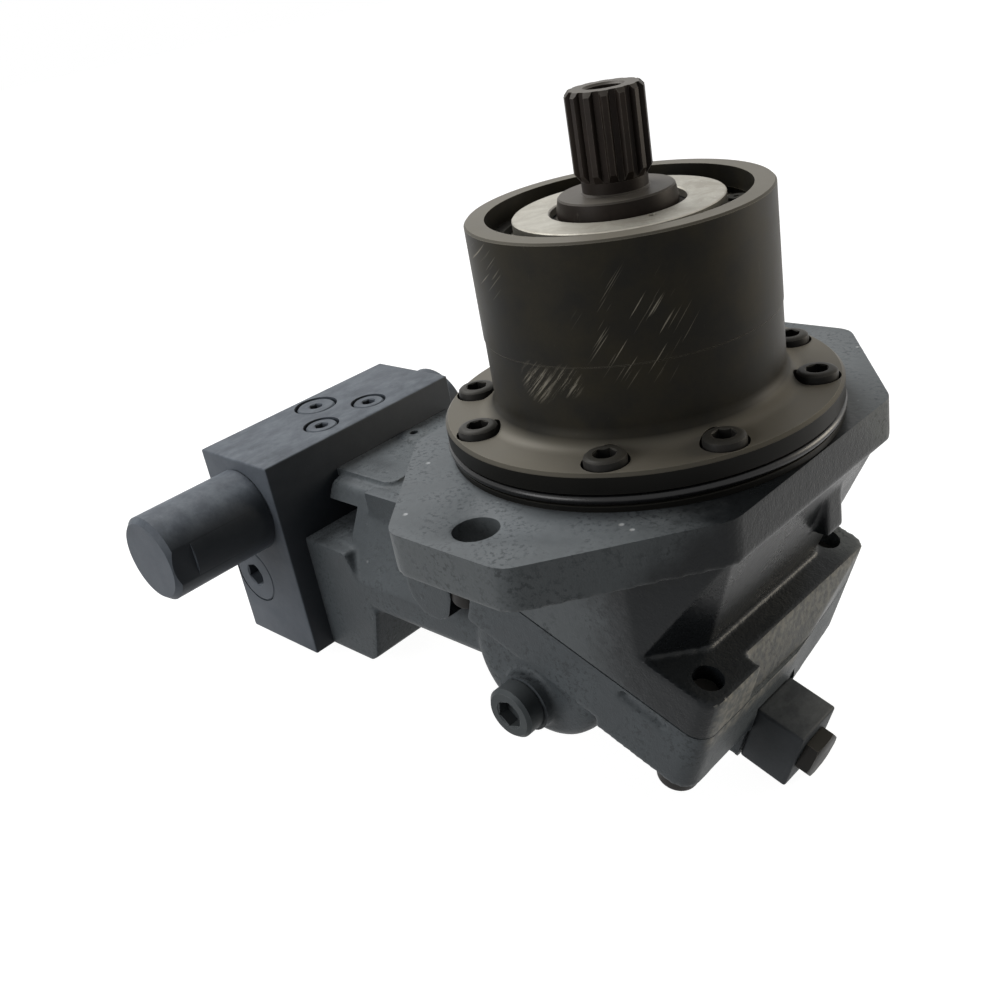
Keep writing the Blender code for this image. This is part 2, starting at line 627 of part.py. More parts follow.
def port_plate():
    """One casting: the plate under the housing, the control hump, and the arm that carries the valve block."""
    top = -GAP / 2
    thin = -0.014
    thick = -0.0315
    end = [(0.068, -HALF_WIDTH), (0.0672, 0.005), (0.059, HALF_WIDTH)]
    cover = rounded([(-0.092, -HALF_WIDTH), *end, (-0.092, HALF_WIDTH)], [0.008, 0.008, 0.02, 0.006, 0.008], 2)
    body = prism("port_plate", cover, thin, top, PLATE)
    step = HALF_WIDTH - 0.017
    notch = -0.054
    middle = [(-0.092, -step), (notch, -step), (notch, -HALF_WIDTH), (0.030, -HALF_WIDTH),
              (0.030, HALF_WIDTH), (notch, HALF_WIDTH), (notch, step), (-0.092, step)]
    join(body, prism("middle", middle, -PLATE_THICKNESS, thin + 0.002, PLATE))
    right = rounded([(0.020, -HALF_WIDTH), *end, (0.020, HALF_WIDTH)], [0.002, 0.008, 0.02, 0.006, 0.002], 2)
    join(body, prism("right", right, thick, thin + 0.002, PLATE))
    for place in PLATE_SCREWS:
        join(body, rod("screw_boss", 0.0105, SCREW_BOSS_END, -0.020, PLATE, place))
    hump_end = HALF_WIDTH - 0.007
    hump_outline = [(0, hump_end), (0.029, hump_end), (0.0347, hump_end - 0.0024), (0.037, hump_end - 0.008),
                    (0.037, 0.008 - hump_end), (0.0347, 0.0024 - hump_end), (0.029, -hump_end), (0, -hump_end)]
    hump = turned("hump", hump_outline, placed(-0.032, -0.101, 0, ALONG_Y), 26)
    join(body, hump)
    join(body, rod("plug_boss", 0.014, 0.040, GAUGE_BOSS_END, ALONG_Y, (GAUGE_X, GAUGE_Z), 16))
    for side in (-1, 1):
        face = turned("round_boss", [(0, HALF_WIDTH), (0.0142, HALF_WIDTH), (0.015, HALF_WIDTH - 0.0008),
                                     (0.015, 0.044), (0, 0.044)],
                      placed(-0.083, -0.072, 0, ALONG_Y) @ Matrix.Rotation(pi * (side + 1) / 2, 4, "X"), 18)
        join(body, face)
    wide = PAD_HALF_WIDTH
    arm_corners = [(-0.030, -0.054), (-wide, -0.095), (-wide, -0.113), (wide, -0.113), (wide, -0.095),
                   (0.030, -0.054)]
    arm_section = rounded(arm_corners, [0.006, 0.006, 0.008, 0.008, 0.006, 0.006], 2)
    join(body, prism("arm", arm_section, -0.190, -0.045, ALONG_X))
    pad_face = VALVE_RIGHT + GAP
    pad = [(pad_face, VALVE_BOTTOM), (pad_face, -0.0785), (-0.162, -0.0805), (-0.147, -0.1125),
           (-0.1555, -0.142)]
    join(body, prism("pad", pad, -wide, wide, ALONG_Y))
    lug_end = HALF_WIDTH - 0.005
    lug_corners = [(pad_face, -0.023), (-0.150, -0.023), (-0.150, lug_end), (pad_face, lug_end)]
    join(body, prism("lug", rounded(lug_corners, [0.001, 0.005, 0.005, 0.001], 2), -0.064, -0.0515))
    lug_place = (-0.185, 0.026)
    join(body, rod("lug_boss", 0.0065, -0.060, -0.0503, at=lug_place))
    join(body, block("rib", (-0.156, -0.036, -0.066), (-0.120, -0.028, -0.0515)))
    flushing_seat = 0.066
    join(body, block("flushing_boss", (0.034, -0.018, -0.0515), (flushing_seat, 0.012, -0.020), PLATE))
    cut(body, block("flushing_face", (flushing_seat, -0.0182, -0.060), (0.075, 0.0122, -0.0175), PLATE))
    groove_depth = 0.0045
    cut(body, block("cast_groove", (0.027, -HALF_WIDTH - 0.005, -0.007),
                    (0.052, groove_depth - HALF_WIDTH, -0.002), PLATE))
    cut(body, block("lug_relief", (pad_face - 0.0008, -0.060, -0.079), (-0.166, HALF_WIDTH - 0.004, -0.0625)))
    cut(body, rod("lug_hole", 0.0025, -0.070, -0.048, at=lug_place, sides=8))
    cut(body, rod("swivel_track", SWIVEL_RADIUS + GAP, -0.036, 0.036, ALONG_Y, sides=48))
    clear = BLOCK_RADIUS + 0.0015
    cut(body, rod("block_clearance", 0.079, -clear, clear, ALONG_Y, sides=24))
    control_bore = placed(0, CONTROL_BORE_DEPTH, 0, ALONG_SLOPE)
    cut(body, rod("control_bore", CONTROL_BORE_RADIUS, -0.089, 0.018, control_bore, sides=16))
    cut(body, block("pin_slot", (-0.082, -0.0065, CONTROL_BORE_DEPTH), (-0.002, 0.0065, -0.010), PLATE))
    for side in (-1, 1):
        passage = (side * PASSAGE_Y, PASSAGE_Z)
        cut(body, rod("passage", 0.0075, -0.200, -0.024, ALONG_X, passage, 10))
        cut(body, rod("riser", 0.005, PASSAGE_Z, -0.070, at=(-0.030, side * 0.029), sides=8))
    for place in PLATE_SCREWS:
        cut(body, rod("screw_hole", 0.0063, -0.040, 0.002, PLATE, place))
    for place in REAR_SCREWS:
        cut(body, rod("rear_screw_hole", 0.0053, -0.030, 0.002, PLATE, place))
        cut(body, rod("rear_screw_seat", 0.0086, -0.030, REAR_SEAT, PLATE, place))
    for y, z in valve_screw_places():
        cut(body, rod("valve_screw_hole", 0.0053, -0.200, -0.1735, ALONG_X, (y, z), 10))
    cut(body, rod("gauge_hole", 0.0083, GAUGE_BOSS_END - 0.017, GAUGE_BOSS_END + 0.006, ALONG_Y,
                  (GAUGE_X, GAUGE_Z), 14))
    cut(body, rod("flushing_bore", 0.0062, 0.044, 0.080, placed(FLUSHING_V, FLUSHING_H, 0, ALONG_SLOPE)))
    groove = prism("seal_groove", seal_outline(0.0014), -0.0026, 0.001, PLATE)
    cut(groove, prism("seal_island", seal_outline(-0.0014), -0.004, 0.002, PLATE))
    cut(body, groove)
    piece("port_plate", body, PAINTED_IRON)


def plate_screws():
    head_down = Matrix.Rotation(pi, 4, "X")
    for number, place in enumerate(PLATE_SCREWS, 1):
        seat = placed(*place, SCREW_BOSS_END - GAP, PLATE) @ head_down
        socket_screw(f"plate_screw_{number}", seat, 0.006, 0.009, 0.008, 0.0465, 0.008)
    for number, place in enumerate(REAR_SCREWS, 3):
        seat = placed(*place, REAR_SEAT - GAP, PLATE) @ head_down
        socket_screw(f"plate_screw_{number}", seat, 0.005, 0.008, 0.010, 0.027, 0.008)


def gauge_port_plug():
    seat = placed(GAUGE_X, GAUGE_Z, GAUGE_BOSS_END + GAP, ALONG_Y)
    socket_plug("gauge_port_plug", seat, 0.0123, 0.0097, 0.008, 0.016, 0.012, BLACK_OXIDE)


def flushing_valve():
    low = (0.0663, -0.0165, -0.0515)
    high = (0.089, 0.010, -0.020)
    axis = placed(FLUSHING_V, FLUSHING_H, 0, ALONG_SLOPE)
    body = bevelled(block("flushing_valve_body", low, high, PLATE), 0.0012)
    cut(body, rod("bore", 0.0062, 0.060, 0.095, axis))
    cut(body, rod("thread", 0.0080, 0.0795, 0.095, axis))
    piece("flushing_valve_body", body, PAINTED_BLOCK)
    plug = rod("plug_thread", 0.0076, 0.0805, high[0] + 0.001, axis)
    join(plug, prism("plug_head", hexagon(0.020), high[0] + GAP, 0.0952, axis))
    piece("flushing_valve_plug", plug, BLACK_OXIDE)
    land = 0.0055
    waist = 0.0035
    spool_outline = [(0, 0.013), (land, 0.013), (land, 0.006), (waist, 0.006), (waist, -0.006), (land, -0.006),
                     (land, -0.013), (0, -0.013)]
    spool_place = placed(FLUSHING_V, FLUSHING_H, 0.063, ALONG_SLOPE)
    spool = turned("flushing_spool", spool_outline, spool_place, 10)
    piece("flushing_spool", spool, BEARING_STEEL)


def valve_screw_places():
    return [(side * (PAD_HALF_WIDTH - 0.008), height) for height in (-0.086, -0.135) for side in (-1, 1)]


def valve_block():
    """The counterbalance valve block: spool bore across it, passages through it, plugs above and in front."""
    body = bevelled(block("valve_block", (VALVE_LEFT, -HALF_WIDTH, VALVE_BOTTOM),
                          (VALVE_RIGHT, HALF_WIDTH, VALVE_TOP)), 0.0012)
    outside = HALF_WIDTH + 0.005
    cut(body, rod("spool_bore", SPOOL_RADIUS + 0.0006, -outside, outside, ALONG_Y, (SPOOL_X, SPOOL_Z), 16))
    for side in (-1, 1):
        port = (side * SERVICE_PORT_Y, PASSAGE_Z)
        port_end = VALVE_LEFT + PORT_DEPTH
        cut(body, rod("service_port", 0.0095, VALVE_LEFT - 0.001, port_end, ALONG_X, port, 16))
        passage = (side * PASSAGE_Y, PASSAGE_Z)
        cut(body, rod("passage", 0.0075, port_end - 0.002, VALVE_RIGHT + 0.001, ALONG_X, passage, 10))
        cut(body, rod("gallery", 0.006, PASSAGE_Z, SPOOL_Z, at=(SPOOL_X, side * 0.026), sides=8))
    for y, z in valve_screw_places():
        cut(body, rod("screw_seat", 0.0084, VALVE_LEFT - 0.001, VALVE_SCREW_SEAT, ALONG_X, (y, z), 12))
        hole_start = VALVE_SCREW_SEAT - 0.001
        cut(body, rod("screw_hole", 0.0053, hole_start, VALVE_RIGHT + 0.001, ALONG_X, (y, z), 10))
    cut(body, rod("large_seat", 0.0123, TOP_PLUG_SEAT, -0.030, at=TOP_PLUG_LARGE, sides=16))
    cut(body, rod("large_thread", 0.0083, -0.0512, -0.034, at=TOP_PLUG_LARGE, sides=14))
    for place in TOP_PLUGS_SMALL:
        cut(body, rod("small_seat", 0.0100, TOP_PLUG_SEAT, -0.030, at=place, sides=16))
        cut(body, rod("small_thread", 0.0063, -0.0512, -0.034, at=place, sides=14))
    cut(body, rod("front_seat", 0.0166, FRONT_PLUG_SEAT, outside, ALONG_Y, FRONT_PLUG, 16))
    cut(body, rod("front_thread", 0.0123, HALF_WIDTH - 0.020, outside, ALONG_Y, FRONT_PLUG, 16))
    piece("valve_block", body, PAINTED_BLOCK)


def valve_caps():
    """The long front cap and the short rear cap close the spool bore and hold its springs."""
    base = HALF_WIDTH + GAP
    chamber = 0.0116
    radius = 0.0232
    axis = placed(SPOOL_X, SPOOL_Z, 0, ALONG_Y)
    chamfer = 0.003
    cap = turned("valve_cap", [(0, CAP_END), (radius - chamfer, CAP_END), (radius, CAP_END - chamfer),
                               (radius, base), (chamber, base), (chamber, SPRING_END), (0, SPRING_END)], axis)
    for side in (-1, 1):
        flat = 0.0213
        low = min(side * flat, side * 0.030)
        lowest = (low, -0.030, CAP_END - 0.026)
        cut(cap, block("spanner_flat", lowest, (low + 0.0087, 0.030, CAP_END + 0.012), axis))
    piece("valve_cap", cap, PAINTED_BLOCK)
    rim = 0.025
    back = REAR_SPRING_END + 0.004
    edge = 0.0015
    rear = turned("valve_end_cap", [(0, -REAR_SPRING_END), (chamber, -REAR_SPRING_END), (chamber, -base),
                                    (rim, -base), (rim, edge - back), (rim - edge, -back), (0, -back)], axis)
    piece("valve_end_cap", rear, PAINTED_BLOCK)


def counterbalance_spool():
    axis = placed(SPOOL_X, SPOOL_Z, 0, ALONG_Y)
    waist = 0.0085
    outline = [(0, SPOOL_END)]
    for low, high in ((0.036, SPOOL_END), (-0.012, 0.012), (-SPOOL_END, -0.036)):
        outline += [(waist, high), (SPOOL_RADIUS, high), (SPOOL_RADIUS, low), (waist, low)]
    outline = [outline[0]] + outline[2:-1] + [(0, -SPOOL_END)]
    piece("counterbalance_spool", turned("counterbalance_spool", outline, axis, 16), BEARING_STEEL)
    wire = 0.0015
    end_room = wire + 0.0007
    front = coil("spool_spring_front", 0.0085, wire, SPOOL_END + end_room, SPRING_END - end_room, 6, axis)
    piece("spool_spring_front", front, BARE_STEEL)
    rear = coil("spool_spring_rear", 0.0085, wire, end_room - REAR_SPRING_END, -SPOOL_END - end_room, 3, axis)
    piece("spool_spring_rear", rear, BARE_STEEL)


def valve_plugs():
    height = VALVE_TOP - GAP - TOP_PLUG_SEAT
    seat = TOP_PLUG_SEAT + GAP
    socket_plug("top_plug_large", placed(*TOP_PLUG_LARGE, seat), 0.0108, height, 0.008, 0.010, 0.007,
                BLACK_OXIDE)
    for number, place in enumerate(TOP_PLUGS_SMALL, 1):
        socket_plug(f"top_plug_small_{number}", placed(*place, seat), 0.0085, height, 0.006, 0.010, 0.007,
                    BLACK_OXIDE)
    front = placed(*FRONT_PLUG, FRONT_PLUG_SEAT + GAP, ALONG_Y)
    socket_plug("front_plug", front, 0.0160, 0.0037, 0.0120, 0.015, 0.012, BLACK_OXIDE)


def valve_block_screws():
    toward_left = Matrix.Rotation(pi, 4, "X")
    length = VALVE_SCREW_END - VALVE_SCREW_SEAT
    for number, (y, z) in enumerate(valve_screw_places(), 1):
        seat = placed(y, z, VALVE_SCREW_SEAT - GAP, ALONG_X) @ toward_left
        socket_screw(f"valve_block_screw_{number}", seat, 0.005, 0.008, 0.010, length, 0.008)


for old in list(bpy.data.objects):
    bpy.data.objects.remove(old)
MOTOR = new_collection("bent_axis_drive_motor")
CUTTERS = new_collection("cutters")
PAINTED_IRON = new_material("painted_iron", (0.055, 0.060, 0.066), 0.55, 0.0)
PAINTED_BLOCK = new_material("painted_block", (0.085, 0.093, 0.108), 0.5, 0.0)
BLACK_OXIDE = new_material("black_oxide_steel", (0.035, 0.032, 0.026), 0.42, 0.8)
DARK_STEEL = new_material("dark_steel", (0.06, 0.052, 0.045), 0.4, 0.9)
BARE_STEEL = new_material("bare_steel", (0.22, 0.21, 0.19), 0.38, 1.0)
BEARING_STEEL = new_material("bearing_steel", (0.42, 0.42, 0.42), 0.25, 1.0)
RUBBER = new_material("black_rubber", (0.01, 0.01, 0.01), 0.35, 0.0)
SHAFT_AXIS = axis_empty("shaft_axis")
BLOCK_AXIS = axis_empty("block_axis")
CAGE_AXES = {"front_bearing": axis_empty("front_cage_axis"), "rear_bearing": axis_empty("rear_cage_axis")}

drive_shaft()
ball_plate()
seal_and_carrier()
retaining_ring()
nose_sleeve()
pilot_o_ring()
taper_bearing("front_bearing", 0.0595, 1)
taper_bearing("rear_bearing", 0.0276, -1)
motor_housing()
housing_seal()
rotating_group()
control_plate()
port_plate()
plate_screws()
gauge_port_plug()
flushing_valve()
valve_block()
valve_caps()
counterbalance_spool()
valve_plugs()
valve_block_screws()
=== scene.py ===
"""Visual model of a bent-axis hydraulic drive motor with its counterbalance valve block.

The file follows the motor as it is put together: housing, rotating parts, nose sleeve, port plate and
valve block, and then the studio around it. Lengths are in millimetres until a mesh is made.
"""

import json
from math import cos, pi, radians, sin, sqrt, tan

import bmesh
import bpy
from mathutils import Matrix, Vector

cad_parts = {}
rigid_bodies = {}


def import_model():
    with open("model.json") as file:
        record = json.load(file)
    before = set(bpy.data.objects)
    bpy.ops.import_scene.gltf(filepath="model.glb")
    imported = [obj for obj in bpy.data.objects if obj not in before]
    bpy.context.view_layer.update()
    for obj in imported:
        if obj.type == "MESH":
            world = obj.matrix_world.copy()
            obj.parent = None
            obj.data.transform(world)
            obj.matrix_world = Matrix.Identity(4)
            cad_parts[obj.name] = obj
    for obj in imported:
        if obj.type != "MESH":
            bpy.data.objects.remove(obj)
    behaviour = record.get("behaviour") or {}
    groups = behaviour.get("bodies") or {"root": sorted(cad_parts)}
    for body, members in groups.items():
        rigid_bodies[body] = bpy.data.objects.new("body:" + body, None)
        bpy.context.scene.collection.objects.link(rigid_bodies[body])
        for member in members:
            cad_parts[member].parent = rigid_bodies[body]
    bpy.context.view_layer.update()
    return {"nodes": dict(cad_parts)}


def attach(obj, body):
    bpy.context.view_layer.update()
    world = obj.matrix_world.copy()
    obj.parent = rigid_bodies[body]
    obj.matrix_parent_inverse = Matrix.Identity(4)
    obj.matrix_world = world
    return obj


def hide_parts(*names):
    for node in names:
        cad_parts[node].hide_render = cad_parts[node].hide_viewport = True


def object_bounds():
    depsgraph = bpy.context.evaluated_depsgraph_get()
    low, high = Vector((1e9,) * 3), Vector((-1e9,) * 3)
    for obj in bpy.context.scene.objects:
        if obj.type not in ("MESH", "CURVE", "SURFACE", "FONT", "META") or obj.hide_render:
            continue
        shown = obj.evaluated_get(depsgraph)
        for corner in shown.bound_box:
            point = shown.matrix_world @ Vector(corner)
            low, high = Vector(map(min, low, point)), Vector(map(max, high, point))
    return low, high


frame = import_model()

# Motor housing
# A grey iron sand casting: the two-hole flange, the body that narrows to the parting line and the foot.
# The flange face, the parting face and the holes are machined, then it is sprayed with satin dark enamel.

MM = 0.001
WORLD = Matrix.Identity(4)
PARTING_DROP = 73.34
PARTING_TILT = radians(20.4)
PARTING = Matrix.Translation((0, 0, -PARTING_DROP * MM)) @ Matrix.Rotation(PARTING_TILT, 4, "Y")
ALONG_Y = Matrix(((1, 0, 0, 0), (0, 0, -1, 0), (0, 1, 0, 0), (0, 0, 0, 1)))
ALONG_X = Matrix(((0, 0, 1, 0), (1, 0, 0, 0), (0, 1, 0, 0), (0, 0, 0, 1)))
HALF_WIDTH = 65
FOOT_CORNERS = [(-92, -HALF_WIDTH), (68, -HALF_WIDTH), (67.2, 5), (59, HALF_WIDTH), (-92, HALF_WIDTH)]
FOOT_RADII = [8, 8, 20, 6, 8]
PLATE_SCREWS = [(56.6, -52.6), (46, 52.6)]
SCREW_PAIRS = [(69.5 * cos(radians(quarter + side * 17.8)), 69.5 * sin(radians(quarter + side * 17.8)))
               for quarter in (45, 135, 225, 315) for side in (-1, 1)]

workshop = bpy.data.collections.new("workshop")
bpy.context.scene.collection.children.link(workshop)


def shape(name, mesh, place):
    """A mesh on the bench, standing in its own frame."""
    made = bpy.data.objects.new(name, mesh)
    made.matrix_world = place
    workshop.objects.link(made)
    return made


def settled(rough):
    """Applies what shapes the object and leaves one welded mesh with its hard edges marked."""
    mesh = bpy.data.meshes.new_from_object(rough.evaluated_get(bpy.context.evaluated_depsgraph_get()))
    faces = bmesh.new()
    faces.from_mesh(mesh)
    bmesh.ops.remove_doubles(faces, verts=faces.verts, dist=0.004 * MM)
    bmesh.ops.recalc_face_normals(faces, faces=faces.faces)
    faces.to_mesh(mesh)
    faces.free()
    mesh.shade_smooth()
    mesh.set_sharp_from_angle(angle=radians(32))
    name, place = rough.name, rough.matrix_world.copy()
    bpy.data.objects.remove(rough)
    return shape(name, mesh, place)


def rod(radius, low, high, place=WORLD, at=(0, 0), sides=48):
    """A round bar along the frame's Z axis."""
    mesh = bpy.data.meshes.new("rod")
    faces = bmesh.new()
    centre = Matrix.Translation(Vector((*at, (low + high) / 2)) * MM)
    bmesh.ops.create_cone(faces, cap_ends=True, segments=sides, radius1=radius * MM, radius2=radius * MM,
                          depth=(high - low) * MM, matrix=centre)
    faces.to_mesh(mesh)
    faces.free()
    return shape("rod", mesh, place)


def block(low, high, place=WORLD):
    """A box from its lowest to its highest corner."""
    low, high = Vector(low) * MM, Vector(high) * MM
    mesh = bpy.data.meshes.new("block")
    faces = bmesh.new()
    bmesh.ops.create_cube(faces, size=1, matrix=Matrix.Translation((low + high) / 2)
                          @ Matrix.Diagonal((*(high - low), 1)))
    faces.to_mesh(mesh)
    faces.free()
    return shape("block", mesh, place)


def prism(outline, low, high, place=WORLD):
    """A flat outline given thickness along the frame's Z axis."""
    curve = bpy.data.curves.new("prism", "CURVE")
    curve.dimensions = "2D"
    curve.fill_mode = "BOTH"
    curve.extrude = (high - low) / 2 * MM
    line = curve.splines.new("POLY")
    line.points.add(len(outline) - 1)
    for point, (x, y) in zip(line.points, outline):
        point.co = (x * MM, y * MM, 0, 1)
    line.use_cyclic_u = True
    return settled(shape("prism", curve, place @ Matrix.Translation((0, 0, (low + high) / 2 * MM))))


def turned(profile, place=WORLD, sides=96):
    """Points of radius and height turned about the frame's Z axis, a ring if none lies on the axis."""
    edges = [(index, index + 1) for index in range(len(profile) - 1)]
    if min(radius for radius, height in profile) > 0:
        edges.append((len(profile) - 1, 0))
    mesh = bpy.data.meshes.new("turned")
    mesh.from_pydata([(radius * MM, 0, height * MM) for radius, height in profile], edges, [])
    made = shape("turned", mesh, place)
    lathe = made.modifiers.new("Lathe", "SCREW")
    lathe.steps = lathe.render_steps = sides
    lathe.use_merge_vertices = True
    lathe.merge_threshold = 0.01 * MM
    return settled(made)


def loft(lower, upper):
    """Straight walls between two rings of corners."""
    mesh = bpy.data.meshes.new("loft")
    faces = bmesh.new()
    rings = [[faces.verts.new(Vector(corner) * MM) for corner in ring] for ring in (lower, upper)]
    faces.faces.new(rings[0])
    faces.faces.new(rings[1])
    for index in range(len(lower)):
        after = (index + 1) % len(lower)
        faces.faces.new((rings[0][index], rings[0][after], rings[1][after], rings[1][index]))
    bmesh.ops.triangulate(faces, faces=faces.faces)
    bmesh.ops.recalc_face_normals(faces, faces=faces.faces)
    faces.to_mesh(mesh)
    faces.free()
    return shape("loft", mesh, WORLD)


def arc(radius, start, end, steps, centre=(0, 0)):
    """Points on an arc, in degrees."""
    turns = [radians(start + (end - start) * step / steps) for step in range(steps + 1)]
    return [(centre[0] + radius * cos(turn), centre[1] + radius * sin(turn)) for turn in turns]


def rounded(corners, radii, steps=6):
    """An outline whose corners are arcs, with one radius for each corner."""
    outline = []
    for index, corner in enumerate(corners):
        here = Vector(corner)
        before = (Vector(corners[index - 1]) - here).normalized()
        after = (Vector(corners[(index + 1) % len(corners)]) - here).normalized()
        half = before.angle(after) / 2
        centre = here + (before + after).normalized() * radii[index] / sin(half)
        first = here + before * radii[index] / tan(half) - centre
        last = here + after * radii[index] / tan(half) - centre
        for step in range(steps + 1):
            outline.append(tuple(centre + first.lerp(last, step / steps).normalized() * radii[index]))
    return outline


def boolean(target, operation, others):
    """Joins the others to the target, takes them out of it or keeps what they share, one after another."""
    for other in others:
        change = target.modifiers.new(operation, "BOOLEAN")
        change.operation = operation
        change.solver = "EXACT"
        change.object = other
    return target


def poured(grain, passes, *lumps):
    """One casting from overlapping lumps, with the soft edges and fillets that sand leaves."""
    mesh = bpy.data.meshes.new("casting")
    faces = bmesh.new()
    for lump in lumps:
        data = lump.data.copy()
        data.transform(lump.matrix_world)
        faces.from_mesh(data)
        bpy.data.objects.remove(lump)
    faces.to_mesh(mesh)
    faces.free()
    casting = shape("casting", mesh, WORLD)
    fuse = casting.modifiers.new("Fuse", "REMESH")
    fuse.mode = "VOXEL"
    fuse.voxel_size = grain * MM
    soften = casting.modifiers.new("Soften", "SMOOTH")
    soften.factor = 0.5
    soften.iterations = passes
    return settled(casting)


def machined(work, *cutters):
    """Takes the cutters out of the work in one go."""
    boolean(cutters[0], "UNION", cutters[1:])
    cut = settled(boolean(work, "DIFFERENCE", cutters[:1]))
    for cutter in cutters:
        bpy.data.objects.remove(cutter)
    return cut


def fitted(name, made, body, finish, slot, *nodes):
    """Names a finished piece, gives it its surface and hangs it on its body in place of its CAD nodes."""
    made.name = made.data.name = name
    made.data.materials.clear()
    made.data.materials.append(finish)
    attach(made, body)
    if nodes:
        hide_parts(*nodes)
    return made


def linear(code):
    """A colour written as sRGB hex, in the linear values that a shader takes."""
    channels = [int(code[place:place + 2], 16) / 255 for place in (0, 2, 4)]
    return (*(c / 12.92 if c <= 0.04045 else ((c + 0.055) / 1.055) ** 2.4 for c in channels), 1)


def add(tree, kind, inputs=None, **settings):
    """Adds a shader node. Inputs are numbers, or the outputs that feed them."""
    made = tree.nodes.new("ShaderNode" + kind)
    for name, value in settings.items():
        setattr(made, name, value)
    for name, value in (inputs or {}).items():
        if isinstance(value, bpy.types.NodeSocket):
            tree.links.new(value, made.inputs[name])
        else:
            made.inputs[name].default_value = value
    return made


def surface(name):
    """A new material, its node tree and its main shader."""
    made = bpy.data.materials.new(name)
    made.use_nodes = True
    return made, made.node_tree, made.node_tree.nodes["Principled BSDF"]


FACTOR, FIRST, SECOND = 0, 6, 7


